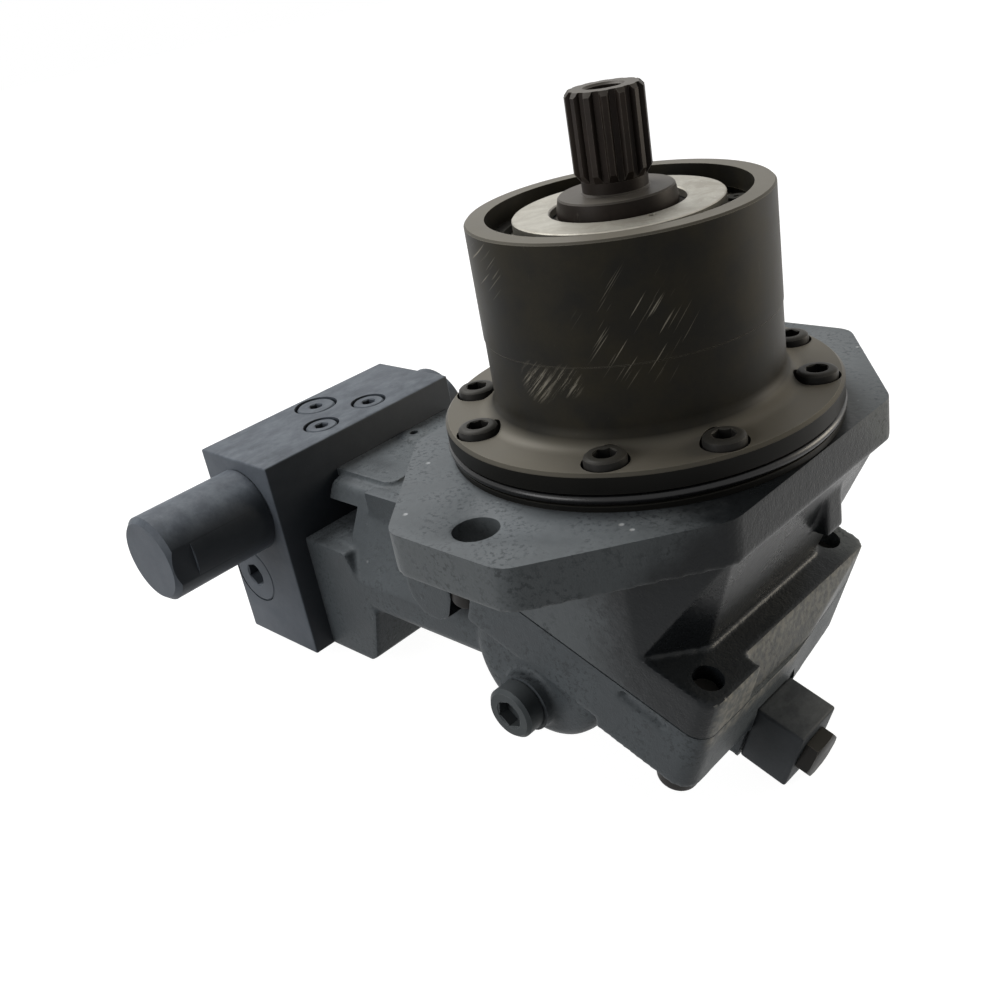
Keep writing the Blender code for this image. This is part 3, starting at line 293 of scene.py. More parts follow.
def painted_iron(name, shade, worn, dust, sand_depth, machined_above, oil_and_shade_spot):
    """Satin enamel sprayed over sand-cast iron: sand grain shows through it, dust lies on what faces up."""
    made, tree, shader = surface(name)
    spot = add(tree, "TexCoord").outputs["Object"]
    axis = add(tree, "SeparateXYZ", {"Vector": spot})
    facing = add(tree, "SeparateXYZ", {"Vector": add(tree, "NewGeometry").outputs["Normal"]})
    # Sand grain of 0.9 mm, paint runs of 3 mm, pinholes every 16 mm, and stains of 25 mm
    sand = add(tree, "TexNoise", {"Vector": spot, "Scale": 1 / (0.9 * MM), "Detail": 3.0, "Roughness": 0.6})
    runs = add(tree, "TexNoise", {"Vector": spot, "Scale": 1 / (3 * MM), "Detail": 2.0})
    pinhole = add(tree, "TexVoronoi", {"Vector": spot, "Scale": 1 / (16 * MM)})
    stain = add(tree, "TexNoise", {"Vector": spot, "Scale": 1 / (25 * MM), "Detail": 6.0, "Roughness": 0.62})
    tone = add(tree, "Mix", {FACTOR: add(tree, "MapRange", {"Value": stain.outputs["Fac"], "From Min": 0.32,
                                                            "From Max": 0.7}).outputs[0],
                             FIRST: linear(shade), SECOND: linear(worn)}, data_type="RGBA")
    upward = add(tree, "MapRange", {"Value": facing.outputs["Z"], "From Min": 0.2, "From Max": 1.0})
    # A thin film of dust on what faces up, with a white speck of 0.8 mm here and there
    film = add(tree, "Math", {0: upward.outputs[0], 1: stain.outputs["Fac"]}, operation="MULTIPLY")
    dusty = add(tree, "Mix", {FACTOR: film.outputs[0], FIRST: tone.outputs[2], SECOND: linear(dust)},
                data_type="RGBA")
    crumb = add(tree, "MapRange", {"Value": pinhole.outputs["Distance"], "From Min": 0.04, "From Max": 0.08,
                                   "To Min": 0.6, "To Max": 0.0})
    crumbs = add(tree, "Math", {0: crumb.outputs[0], 1: upward.outputs[0]}, operation="MULTIPLY")
    dusty = add(tree, "Mix", {FACTOR: crumbs.outputs[0], FIRST: dusty.outputs[2], SECOND: linear("c8cacb")},
                data_type="RGBA")
    # Grime of 2 mm sits in the pits of the casting skin, in patches
    grime = add(tree, "TexNoise", {"Vector": spot, "Scale": 1 / (2.2 * MM), "Detail": 5.0, "Roughness": 0.7})
    pits = add(tree, "MapRange", {"Value": grime.outputs["Fac"], "From Min": 0.51, "From Max": 0.6,
                                  "To Max": 0.6})
    patch = add(tree, "MapRange", {"Value": stain.outputs["Fac"], "From Min": 0.42, "From Max": 0.56})
    dirt = add(tree, "Math", {0: pits.outputs[0], 1: patch.outputs[0]}, operation="MULTIPLY")
    dusty = add(tree, "Mix", {FACTOR: dirt.outputs[0], FIRST: dusty.outputs[2], SECOND: linear("25282a")},
                data_type="RGBA")
    # Around the given spot the paint goes nearly black and a little glossier: oil that has crept into the
    # corner between the body and the foot, and painted shade where that corner lies in shadow
    near = add(tree, "VectorMath", {0: spot, 1: Vector(oil_and_shade_spot[0]) * MM}, operation="DISTANCE")
    dark_reach = add(tree, "Math", {0: near.outputs["Value"],
                               1: add(tree, "Math", {0: stain.outputs["Fac"], 1: 30 * MM},
                                      operation="MULTIPLY").outputs[0]}, operation="ADD")
    oil_and_shade = add(tree, "MapRange", {"Value": dark_reach.outputs[0], "From Min": oil_and_shade_spot[1] * MM, "From Max": oil_and_shade_spot[2] * MM,
                                 "To Min": 0.92, "To Max": 0.0}, interpolation_type="SMOOTHSTEP")
    # The end of the foot is kept clear of the oil and painted shade, and its paint is chafed through to grey
    # iron
    endward = add(tree, "MapRange", {"Value": facing.outputs["X"], "From Min": 0.75, "From Max": 0.88})
    outer = add(tree, "MapRange", {"Value": axis.outputs["X"], "From Min": 60 * MM, "From Max": 63 * MM})
    low_down = add(tree, "MapRange", {"Value": axis.outputs["Z"], "From Min": -50 * MM, "From Max": -58 * MM})
    foot_end = add(tree, "Math", {0: endward.outputs[0], 1: outer.outputs[0]}, operation="MULTIPLY")
    foot_end = add(tree, "Math", {0: foot_end.outputs[0], 1: low_down.outputs[0]}, operation="MULTIPLY")
    outside_foot_end = add(tree, "Math", {0: 1.0, 1: foot_end.outputs[0]}, operation="SUBTRACT")
    chafed = add(tree, "MapRange", {"Value": runs.outputs["Fac"], "From Min": 0.4, "From Max": 0.62,
                                    "To Min": 0.15, "To Max": 0.7})
    chafed = add(tree, "Math", {0: chafed.outputs[0], 1: foot_end.outputs[0]}, operation="MULTIPLY")
    dusty = add(tree, "Mix", {FACTOR: chafed.outputs[0], FIRST: dusty.outputs[2], SECOND: linear("8e8c85")},
                data_type="RGBA")
    oil_and_shade = add(tree, "Math", {0: oil_and_shade.outputs[0], 1: outside_foot_end.outputs[0]}, operation="MULTIPLY")
    oiled_and_shaded = add(tree, "Mix", {FACTOR: oil_and_shade.outputs[0], FIRST: dusty.outputs[2], SECOND: linear("0d1013")},
                data_type="RGBA")
    tree.links.new(oiled_and_shaded.outputs[2], shader.inputs["Base Color"])
    matt = add(tree, "MapRange", {"Value": stain.outputs["Fac"], "To Min": 0.36, "To Max": 0.62})
    glossy = add(tree, "Math", {0: oil_and_shade.outputs[0], 1: -0.22, 2: matt.outputs[0]}, operation="MULTIPLY_ADD")
    tree.links.new(glossy.outputs[0], shader.inputs["Roughness"])
    # The milled face lies above a height and shows almost none of the sand
    rough_cast = add(tree, "MapRange", {"Value": axis.outputs["Z"], "From Min": (machined_above - 0.4) * MM,
                                        "From Max": machined_above * MM, "To Min": 1.0, "To Max": 0.12})
    grain = add(tree, "Bump", {"Strength": rough_cast.outputs[0], "Distance": sand_depth * MM,
                               "Height": sand.outputs["Fac"]})
    sag = add(tree, "Bump", {"Strength": 0.35, "Distance": 0.4 * MM, "Height": runs.outputs["Fac"],
                             "Normal": grain.outputs[0]})
    hole = add(tree, "MapRange", {"Value": pinhole.outputs["Distance"], "From Min": 0.03, "From Max": 0.07})
    pitted = add(tree, "Bump", {"Strength": 0.8, "Distance": 0.3 * MM, "Height": hole.outputs[0],
                                "Normal": sag.outputs[0]})
    tree.links.new(pitted.outputs[0], shader.inputs["Normal"])
    shader.inputs["IOR"].default_value = 1.5
    shader.inputs["Specular IOR Level"].default_value = 0.15
    return made


# The dark spot lies in the corner between the body and the foot: oil, and painted shade for the shadow in that
# corner.
HOUSING_PAINT = painted_iron("satin_enamel_on_cast_iron", "4e5254", "575b5d", "6e7376", 0.14, 0,
                              ((80, -20, -58), 80, 102))

flange_corners = [(-80, -55), (-29, -118), (29, -118), (80, -55), (80, 55), (29, 118), (-29, 118), (-80, 55)]
flange = prism(rounded(flange_corners, [14, 12, 12, 12, 12, 12, 12, 14]), -18, 2)
foot = prism(rounded(FOOT_CORNERS, FOOT_RADII), -2, 20, PARTING)
end_slope = prism([(66.9, -3), (59.0, 22), (80, 22), (80, -3)], -70, 32, PARTING @ ALONG_Y)
foot = machined(foot, end_slope)
body_top = [(-70, -66), (36, -66), (78, -53), (78, 53), (36, 66), (-70, 66), (-78, 50), (-78, -50)]
body_foot = [(-70, -65), (36.4, -65), (50.5, -39), (50.5, 39), (36.4, 65), (-70, 65), (-84, 50), (-84, -50)]
sunk = [(x, y, -PARTING_DROP + (18 - x * sin(PARTING_TILT)) / cos(PARTING_TILT)) for x, y in body_foot]
body = loft([(x, y, -14) for x, y in body_top], sunk)
wall_rib = block((50, 19, -47), (71.2, 31, -13))
raw_housing = poured(1.2, 5, flange, body, foot, wall_rib)


def seam():
    """The thin groove along the parting line, where both castings have a broken edge."""
    inner = [(-91.4, -64.4), (67.4, -64.4), (66.6, 5), (58.4, 64.4), (-91.4, 64.4)]
    return machined(block((-110, -80, -0.4), (90, 80, 0.4), PARTING),
                    prism(rounded(inner, FOOT_RADII), -1, 1, PARTING))


bolt_holes = [turned([(0, 1), (10.7, 1), (10.7, 0), (9, -0.7), (9, -20), (0, -20)],
                     Matrix.Translation((0, y * MM, 0)), 48) for y in (-100, 100)]
housing = machined(
    raw_housing,
    block((-120, -140, 0), (120, 140, 6)),
    block((-120, -90, -30), (120, 90, 0.15), PARTING),
    turned([(0, 2), (52, 2), (52, -8.3), (46.5, -8.3), (46.5, -32), (44, -32), (44, -110), (0, -110)]),
    prism([(0, -16), (0, -98), (-60, -98), (-79, -60), (-79, -36), (-46, -16)], -44, 44, ALONG_Y),
    *bolt_holes,
    *[rod(6.3, -2, 24, PARTING, place) for place in PLATE_SCREWS],
    *[rod(5.3, -15.5, 1, WORLD, place, 24) for place in SCREW_PAIRS],
    seam())
fitted("housing_casting", housing, "housing", HOUSING_PAINT, "painted_iron", "motor_housing")

# Nose sleeve and its ring
# One turning in black-oxide steel that holds both taper bearings and centres the motor in the gearbox.
# Eight counterbored screws clamp it to the flange, and an O-ring sits in the groove of its ring.

BORE = 45.3


def black_oxide(name, shade, brown, bright, rim, wiping_and_top_light, darkened_below=0.0, chalk=()):
    """Black oxide on turned steel: fine rings from the tool, brown where oil has dried, bare at worn edges."""
    made, tree, shader = surface(name)
    spot = add(tree, "TexCoord").outputs["Object"]
    axis = add(tree, "SeparateXYZ", {"Vector": spot})
    flat = add(tree, "CombineXYZ", {"X": axis.outputs["X"], "Y": axis.outputs["Y"]})
    reach = add(tree, "VectorMath", {0: flat.outputs[0]}, operation="LENGTH")
    lathe = add(tree, "CombineXYZ", {"X": reach.outputs["Value"], "Y": axis.outputs["Z"]})
    # Tool rings: a feed of 0.2 mm is too fine to show, so they are drawn every 0.7 mm
    rings = add(tree, "TexNoise", {"Vector": lathe.outputs[0], "Scale": 1 / (0.7 * MM), "Detail": 4.0,
                                   "Roughness": 0.7}, noise_dimensions="2D")
    handled = add(tree, "TexNoise", {"Vector": spot, "Scale": 1 / (22 * MM), "Detail": 7.0, "Roughness": 0.65})
    rubbed = add(tree, "TexNoise", {"Vector": add(tree, "Mapping", {"Vector": spot, "Scale": (1, 1, 0.18)}
                                                  ).outputs[0],
                                    "Scale": 1 / (3.5 * MM), "Detail": 5.0, "Roughness": 0.75})
    tone = add(tree, "Mix", {FACTOR: add(tree, "MapRange", {"Value": handled.outputs["Fac"], "From Min": 0.38,
                                                            "From Max": 0.66}).outputs[0],
                             FIRST: linear(shade), SECOND: linear(brown)}, data_type="RGBA")
    streak = add(tree, "MapRange", {"Value": rubbed.outputs["Fac"], "From Min": 0.66, "From Max": 0.9,
                                    "To Max": 0.3})
    streaked = add(tree, "Mix", {FACTOR: streak.outputs[0], FIRST: tone.outputs[2], SECOND: linear(bright)},
                   data_type="RGBA")
    # Fine slanting scratches where a sling has rubbed, and pale chalky smears, each within a few millimetres
    across = add(tree, "VectorMath", {0: spot, 1: (-0.59, -0.54, 0.6)}, operation="DOT_PRODUCT")
    along = add(tree, "VectorMath", {0: spot, 1: (0.013, 0.012, 0.024)}, operation="DOT_PRODUCT")
    slant = add(tree, "CombineXYZ", {"X": across.outputs["Value"], "Y": along.outputs["Value"]})
    scores = add(tree, "TexNoise", {"Vector": slant.outputs[0], "Scale": 1 / (0.7 * MM), "Detail": 1.0})
    crumbs = add(tree, "TexNoise", {"Vector": slant.outputs[0], "Scale": 1 / (1.1 * MM), "Detail": 6.0,
                                    "Roughness": 0.8})
    for place, reach_mm, pattern, start in chalk:
        source = scores if pattern == "scores" else crumbs
        close = add(tree, "VectorMath", {0: spot, 1: Vector(place) * MM}, operation="DISTANCE")
        within = add(tree, "MapRange", {"Value": close.outputs["Value"], "From Min": reach_mm * 0.4 * MM,
                                        "From Max": reach_mm * MM, "To Min": 0.4, "To Max": 0.0})
        line = add(tree, "MapRange", {"Value": source.outputs["Fac"], "From Min": start,
                                      "From Max": start + 0.06})
        pale = add(tree, "Math", {0: within.outputs[0], 1: line.outputs[0]}, operation="MULTIPLY")
        streaked = add(tree, "Mix", {FACTOR: pale.outputs[0], FIRST: streaked.outputs[2],
                                     SECOND: linear("b4ad9d")}, data_type="RGBA")
    # Worn edges: where the surface turns within half a millimetre the oxide is gone
    edge = add(tree, "VectorMath", {0: add(tree, "Bevel", {"Radius": rim * MM}, samples=4).outputs[0],
                                    1: add(tree, "NewGeometry").outputs["Normal"]}, operation="DOT_PRODUCT")
    worn = add(tree, "MapRange", {"Value": edge.outputs["Value"], "From Min": 0.99, "From Max": 0.88,
                                  "To Max": 0.55})
    bare = add(tree, "Mix", {FACTOR: worn.outputs[0], FIRST: streaked.outputs[2], SECOND: linear(bright)},
               data_type="RGBA")
    # Painted light: what faces up is lightened towards the bright shade, standing for the lamps' light on the
    # tops
    facing = add(tree, "SeparateXYZ", {"Vector": add(tree, "NewGeometry").outputs["Normal"]})
    upward = add(tree, "MapRange", {"Value": facing.outputs["Z"], "From Min": 0.5, "From Max": 1.0,
                                    "To Max": wiping_and_top_light})
    bare = add(tree, "Mix", {FACTOR: upward.outputs[0], FIRST: bare.outputs[2], SECOND: linear(bright)},
               data_type="RGBA")
    # Below 14 mm the turned steel is darkened nearly to black
    below_ring_top = add(tree, "MapRange", {"Value": axis.outputs["Z"], "From Min": 14 * MM, "From Max": 14.6 * MM,
                                      "To Min": darkened_below, "To Max": 0.0})
    bare = add(tree, "Mix", {FACTOR: below_ring_top.outputs[0], FIRST: bare.outputs[2], SECOND: linear("0e0e0d")},
               data_type="RGBA")
    tree.links.new(bare.outputs[2], shader.inputs["Base Color"])
    polish = add(tree, "MapRange", {"Value": handled.outputs["Fac"], "To Min": 0.36, "To Max": 0.55})
    tree.links.new(polish.outputs[0], shader.inputs["Roughness"])
    cut = add(tree, "Bump", {"Strength": 0.25, "Distance": 0.05 * MM, "Height": rings.outputs["Fac"]})
    tree.links.new(cut.outputs[0], shader.inputs["Normal"])
    shader.inputs["Metallic"].default_value = 0.12
    shader.inputs["Specular IOR Level"].default_value = 0.08
    return made


SLEEVE_OXIDE = black_oxide("black_oxide_turned_steel", "1c1b18", "27241c", "8f8a7e", 0.4, 0.5, 0.9,
                           [((39, -43.5, 60), 24, "scores", 0.65), ((1.3, -58.6, 40), 9, "crumbs", 0.5),
                            ((14.4, -56.8, 41.5), 7, "crumbs", 0.52), ((-20, -55, 80), 12, "scores", 0.64)])

sleeve_outside = ([(50.65, 91.6), (57.8, 91.6), (58.6, 90.8), (58.6, 46.9), (58.3, 46.5), (58.3, 23.5)]
                  + arc(8, 180, 270, 8, (66.3, 23.5)))
sleeve_ring = [(78.8, 15.5), (80, 14.3), (80, 7.7), (79.8, 7.5), (76.4, 7.5), (76.4, 2.5), (79.3, 2.5),
               (79.5, 2.3), (79.5, 0.3), (51.7, 0.3), (51.7, -8)]
sleeve_inside = [(BORE, -8), (BORE, 38.4), (41, 38.4), (41, 48.7), (BORE, 48.7), (BORE, 71.7), (50.65, 71.7),
                 (50.65, 80), (53, 80), (53, 83.3), (50.65, 83.3)]
sleeve = turned(sleeve_outside + sleeve_ring + sleeve_inside, sides=144)
sleeve = machined(sleeve,
                  *[rod(9, 8.5, 30, WORLD, place) for place in SCREW_PAIRS],
                  *[rod(5.3, -1, 9, WORLD, place, 24) for place in SCREW_PAIRS])
fitted("sleeve_turning", sleeve, "housing", SLEEVE_OXIDE, "black_oxide_steel", "nose_sleeve")

# Pilot O-ring
# A moulded nitrile ring, still wet with oil, stretched into the groove of the pilot ring.


def rubber(name):
    """Nitrile rubber, moulded and oiled: black, with a soft sheen and faint dust."""
    made, tree, shader = surface(name)
    spot = add(tree, "TexCoord").outputs["Object"]
    skin = add(tree, "TexNoise", {"Vector": spot, "Scale": 1 / (1.2 * MM), "Detail": 4.0})
    tone = add(tree, "Mix", {FACTOR: skin.outputs["Fac"], FIRST: linear("050506"), SECOND: linear("101011")},
               data_type="RGBA")
    tree.links.new(tone.outputs[2], shader.inputs["Base Color"])
    sheen = add(tree, "MapRange", {"Value": skin.outputs["Fac"], "To Min": 0.2, "To Max": 0.42})
    tree.links.new(sheen.outputs[0], shader.inputs["Roughness"])
    relief = add(tree, "Bump", {"Strength": 0.2, "Distance": 0.05 * MM, "Height": skin.outputs["Fac"]})
    tree.links.new(relief.outputs[0], shader.inputs["Normal"])
    shader.inputs["IOR"].default_value = 1.52
    shader.inputs["Specular IOR Level"].default_value = 0.3
    return made


NITRILE = rubber("oiled_nitrile_rubber")

o_ring = turned(arc(1.9, 0, 337.5, 15, (78.6, 5.0)), sides=144)
fitted("pilot_ring_seal", o_ring, "housing", NITRILE, "black_rubber", "pilot_o_ring")

# Sleeve screws
# Socket cap screws, rolled and hardened, with black oxide that keeps a film of oil. They stand 3.3 mm proud
# of the ring in counterbores that run into the foot of the sleeve.

SCREW_OXIDE = black_oxide("black_oxide_cap_screw", "222221", "2a2826", "6a675f", 0.3, 0.2)


def cap_screw(name, place, size, head, height, length, key, node):
    """A cap screw whose seat is the frame's XY plane, with its head along +Z."""
    made = turned([(0, height), (head - 2.0, height), (head - 1.0, height - 0.3), (head - 0.3, height - 0.9),
                   (head, height - 1.9), (head, 0.4), (head - 0.4, 0), (size, 0), (size, -length + 1),
                   (size - 1, -length), (0, -length)], place, 48)
    socket = prism(arc(key / sqrt(3), 15, 315, 5), height * 0.4, height + 1, place)
    mouth = turned([(0, height + 0.5), (key / sqrt(3) + 0.4, height + 0.5), (key / sqrt(3) - 0.5, height - 0.4),
                    (0, height - 0.4)], place, 24)
    drilled = turned([(0, height * 0.41), (key / 2, height * 0.41), (0, height * 0.41 - 1.6)], place, 24)
    fitted(name, machined(made, socket, mouth, drilled), "housing", SCREW_OXIDE, "black_oxide_steel", node)


for number, (x, y) in enumerate(SCREW_PAIRS, 1):
    turn = Matrix.Rotation(radians(47 * number), 4, "Z")
    cap_screw(f"sleeve_cap_screw_{number}", Matrix.Translation(Vector((x, y, 8.8)) * MM) @ turn,
              5, 8, 10, 20, 8, f"sleeve_screw_{number}")

# Seal carrier and retaining ring
# A bare turned steel disc that holds the shaft seal, stained by oil and fingers, with one small pin hole.
# A spring ring with two ears locks it in the sleeve.


def bare_steel(name, shade, stained, light, lustre):
    """Bare turned steel: fine rings, grey stains and light scratches from handling."""
    made, tree, shader = surface(name)
    spot = add(tree, "TexCoord").outputs["Object"]
    axis = add(tree, "SeparateXYZ", {"Vector": spot})
    flat = add(tree, "CombineXYZ", {"X": axis.outputs["X"], "Y": axis.outputs["Y"]})
    reach = add(tree, "VectorMath", {0: flat.outputs[0]}, operation="LENGTH")
    lathe = add(tree, "CombineXYZ", {"X": reach.outputs["Value"], "Y": axis.outputs["Z"]})
    rings = add(tree, "TexNoise", {"Vector": lathe.outputs[0], "Scale": 1 / (0.6 * MM), "Detail": 3.0},
                noise_dimensions="2D")
    stain = add(tree, "TexNoise", {"Vector": spot, "Scale": 1 / (14 * MM), "Detail": 8.0, "Roughness": 0.7,
                                   "Distortion": 0.6})
    fine = add(tree, "TexNoise", {"Vector": spot, "Scale": 1 / (1.3 * MM), "Detail": 4.0})
    tone = add(tree, "Mix", {FACTOR: add(tree, "MapRange", {"Value": stain.outputs["Fac"], "From Min": 0.35,
                                                            "From Max": 0.65}).outputs[0],
                             FIRST: linear(shade), SECOND: linear(stained)}, data_type="RGBA")
    speckled = add(tree, "Mix", {FACTOR: add(tree, "MapRange", {"Value": fine.outputs["Fac"], "From Min": 0.6,
                                                                "From Max": 0.8, "To Max": 0.5}).outputs[0],
                                 FIRST: tone.outputs[2], SECOND: linear(light)}, data_type="RGBA")
    tree.links.new(speckled.outputs[2], shader.inputs["Base Color"])
    polish = add(tree, "MapRange", {"Value": stain.outputs["Fac"], "To Min": lustre, "To Max": lustre + 0.25})
    tree.links.new(polish.outputs[0], shader.inputs["Roughness"])
    cut = add(tree, "Bump", {"Strength": 0.3, "Distance": 0.04 * MM, "Height": rings.outputs["Fac"]})
    tree.links.new(cut.outputs[0], shader.inputs["Normal"])
    shader.inputs["Metallic"].default_value = 0.9
    return made


CARRIER_STEEL = bare_steel("bare_turned_steel", "a8a59b", "8b877d", "c4c2ba", 0.36)

carrier = turned([(26.5, 89.5), (40.1, 89.5), (40.5, 89.1), (40.5, 80), (50.2, 80), (50.2, 72), (33.3, 72),
                  (33.3, 86.3), (26, 86.3), (26, 89.0)])
carrier = machined(carrier, rod(1.6, 85, 91, WORLD, (25.9, -13.1), 24))
fitted("seal_carrier_disc", carrier, "housing", CARRIER_STEEL, "bare_steel", "seal_carrier")

ears = (53, 77)
ring_outline = arc(52.5, ears[1], ears[0] + 360, 60) + arc(46, ears[0] + 360, ears[1], 60)
ring_lock = prism(ring_outline, 80.4, 83)
lugs = [rod(3.9, 80.6, 82.8, WORLD, arc(46.8, ear, ear, 1)[0], 24) for ear in ears]
ring_lock = settled(boolean(ring_lock, "UNION", lugs))
for lug in lugs:
    bpy.data.objects.remove(lug)
ring_lock = machined(ring_lock, *[rod(1.3, 78, 85, WORLD, arc(46.3, ear, ear, 1)[0], 16) for ear in ears])
fitted("sleeve_spring_ring", ring_lock, "housing", SCREW_OXIDE, "black_oxide_steel", "retaining_ring")

# Drive shaft
# A forged shaft with a 14-tooth involute spline, hardened and darkened, its tooth tips and end edges worn
# bright, and its upper end face lightened as painted light.
# A collar runs in the shaft seal, and the round flange inside the housing carries the piston balls.

SHAFT_STEEL = black_oxide("hardened_dark_steel", "1c1815", "2a2420", "8d887f", 0.15, 0.35)

TEETH = 14
shaft_body = turned([(0, 100.5), (12.5, 100.5), (12.5, 95.5), (13.1, 94.9), (21.6, 94.9), (22.2, 94.3),
                     (23.1, 90), (23.1, 87.5), (24.2, 86.5), (24.2, 71), (24.7, 70.5), (24.7, 17), (25.4, 16.3),
                     (40, 16.3), (41, 15.3), (41, 0), (0, 0)])
tooth_outline = []
for tooth in range(TEETH):
    for radius, offset in ((12.8, -7.9), (13.5, -7.0), (14.2, -5.7), (14.65, -4.6), (14.8, -3.9), (14.8, 3.9),
                           (14.65, 4.6), (14.2, 5.7), (13.5, 7.0), (12.8, 7.9)):
        angle = radians(360 * tooth / TEETH + offset)
        tooth_outline.append((radius * cos(angle), radius * sin(angle)))
spline = prism(tooth_outline, 99.5, 132)
spline = machined(spline,
                  turned([(17, 133), (17, 129.2), (14.9, 130.2), (13.2, 132.1), (12.6, 133)], sides=56),
                  turned([(17, 105.8), (17, 98), (12.5, 98), (12.5, 99.6)], sides=56))
shaft_body = settled(boolean(shaft_body, "UNION", [spline]))
bpy.data.objects.remove(spline)


def ball_seat(radius, at):
    """A ball whose centre lies in the end face of the drive flange, to cut its seat."""
    mesh = bpy.data.meshes.new("ball_seat")
    faces = bmesh.new()
    bmesh.ops.create_uvsphere(faces, u_segments=32, v_segments=16, radius=radius * MM,
                              matrix=Matrix.Translation(Vector((*at, 0)) * MM))
    faces.to_mesh(mesh)
    faces.free()
    return shape("ball_seat", mesh, WORLD)


shaft_body = machined(shaft_body,
                      turned([(0, 133), (9.0, 133), (7.4, 131.6), (6.8, 131.2), (6.8, 128), (0, 124)],
                             sides=48),
                      *[ball_seat(8.8, arc(30, 360 / 7 * count, 360 / 7 * count, 1)[0]) for count in range(7)],
                      ball_seat(7.8, (0, 0)))
fitted("splined_shaft", shaft_body, "shaft", SHAFT_STEEL, "dark_steel", "drive_shaft")

# Port plate
# The second iron casting: the plate under the housing, the hump that holds the control piston, the arm with
# its two oil passages and the pad for the valve block. It is painted together with the housing.

# The same enamel as the housing's, given darker shades as painted shade, for the plate lies in shadow under the
# flange; the dark spot under the lug is painted shade as well as oil.
PLATE_PAINT_IN_SHADE = painted_iron("enamel_on_port_plate_with_painted_shade", "3e4245", "4a4f52", "6c7174", 0.18, 900,
                           ((-175, -15, -62), 10, 34))

cover = prism(rounded(FOOT_CORNERS, FOOT_RADII), -14, 2, PARTING)
middle = prism([(-92, -48), (-54, -48), (-54, -65), (30, -65), (30, 65), (-54, 65), (-54, 48), (-92, 48)],
               -27, -12, PARTING)
right = prism(rounded([(20, -65), (68, -65), (67.2, 5), (59, 65), (20, 65)], [2, 8, 20, 6, 2]), -31.5, -12,
              PARTING)
right, cover = [machined(lump, block((28, -72, -6.5), (51, -62, -2.5), PARTING)) for lump in (right, cover)]
bosses = [rod(10.5, -32.5, -20, PARTING, place) for place in PLATE_SCREWS]
hump = turned([(0, 58), (27, 58), (32, 57.2), (35.6, 54.6), (37, 50), (37, -50), (35.6, -54.6), (32, -57.2),
               (27, -58), (0, -58)], ALONG_Y @ Matrix.Translation((-0.032, -0.101, 0)))
gauge_line = (-34, -116)
plug_boss = rod(14, 40, 66, ALONG_Y, gauge_line)
round_bosses = [rod(15, low, low + 21, ALONG_Y, (-83, -72)) for low in (-65, 44)]
arm_section = rounded([(-30, -54), (-53, -95), (-53, -113), (53, -113), (53, -95), (30, -54)],
                      [6, 6, 8, 8, 6, 6])
arm = prism(arm_section, -190, -45, ALONG_X)
pad = prism([(-196, -146), (-196, -78.4), (-162, -80.5), (-147, -112.5), (-155.5, -142), (-161, -146)],
            -53, 53, ALONG_Y)
lug = prism(rounded([(-198, -23), (-150, -23), (-150, 60), (-198, 60)], [1, 5, 5, 1]), -64, -51.5)
lug_hole = (-185, 26)
lug_boss = rod(6.5, -60, -50.3, WORLD, lug_hole)
arm_rib = block((-156, -36, -66), (-120, -28, -51.5))
flushing_boss = block((34, -18, -51.5), (68, 12, -20), PARTING)
raw_plate = poured(1.2, 5, cover, middle, right, *bosses, hump, plug_boss, *round_bosses, arm, pad, lug,
                   lug_boss, arm_rib, flushing_boss)

control_bore = PARTING @ ALONG_X @ Matrix.Translation(Vector((0, -41.3, 0)) * MM)
valve_screws = [(side * 45, height) for height in (-86, -135) for side in (-1, 1)]
port_plate = machined(
    raw_plate,
    block((-120, -90, -0.15), (120, 90, 30), PARTING),
    block((-230, -90, -200), (-193.7, 90, 0)),
    block((66, -18.4, -60), (76, 12.4, -17), PARTING),
    block((-199, -60, -79), (-166, 61, -62.5)),
    seam(),
    rod(2.5, -70, -48, WORLD, lug_hole, 24),
    rod(88.3, -36, 36, ALONG_Y, (0, 0), 128),
    rod(79, -42.5, 42.5, ALONG_Y, (0, 0), 96),
    rod(14.2, -89, 18, control_bore),
    block((-82, -6.5, -41.3), (-2, 6.5, -10), PARTING),
    *[rod(7.5, -200, -24, ALONG_X, (side * 24, -97)) for side in (-1, 1)],
    *[rod(5, -97, -70, WORLD, (-30, side * 29), 24) for side in (-1, 1)],
    *[rod(6.3, -40, 2, PARTING, place) for place in PLATE_SCREWS],
    *[rod(5.3, -30, 2, PARTING, (-61, side * 57), 24) for side in (-1, 1)],
    *[rod(8.6, -34, -14, PARTING, (-61, side * 57)) for side in (-1, 1)],
    *[rod(5.3, -200, -173.5, ALONG_X, place, 24) for place in valve_screws],
    rod(8.3, 47, 80, ALONG_Y, gauge_line),
    block((-60, -90, -150), (0, -64.0, -90)),
    rod(6.2, 44, 80, control_bore @ Matrix.Translation(Vector((-3.25, 5.55, 0)) * MM), (0, 0), 24))
fitted("port_plate_casting", port_plate, "housing", PLATE_PAINT_IN_SHADE, "painted_iron", "port_plate")

# Plate screws
# Four cap screws in black oxide, put in from below: two by the end of the foot and two beside the arm.

for number, (u, v) in enumerate(PLATE_SCREWS, 1):
    seat = PARTING @ Matrix.Translation(Vector((u, v, -32.8)) * MM) @ Matrix.Rotation(pi, 4, "X")
    cap_screw(f"plate_cap_screw_{number}", seat, 6, 9, 8, 46.5, 8, f"plate_screw_{number}")
for number, side in enumerate((-1, 1), 3):
    seat = PARTING @ Matrix.Translation(Vector((-61, side * 57, -14.3)) * MM) @ Matrix.Rotation(pi, 4, "X")
    cap_screw(f"plate_cap_screw_{number}", seat, 5, 8, 10, 27, 8, f"plate_screw_{number}")

# Gauge port plug
# A round-headed steel plug with a hexagon socket, screwed against its boss on the hump.


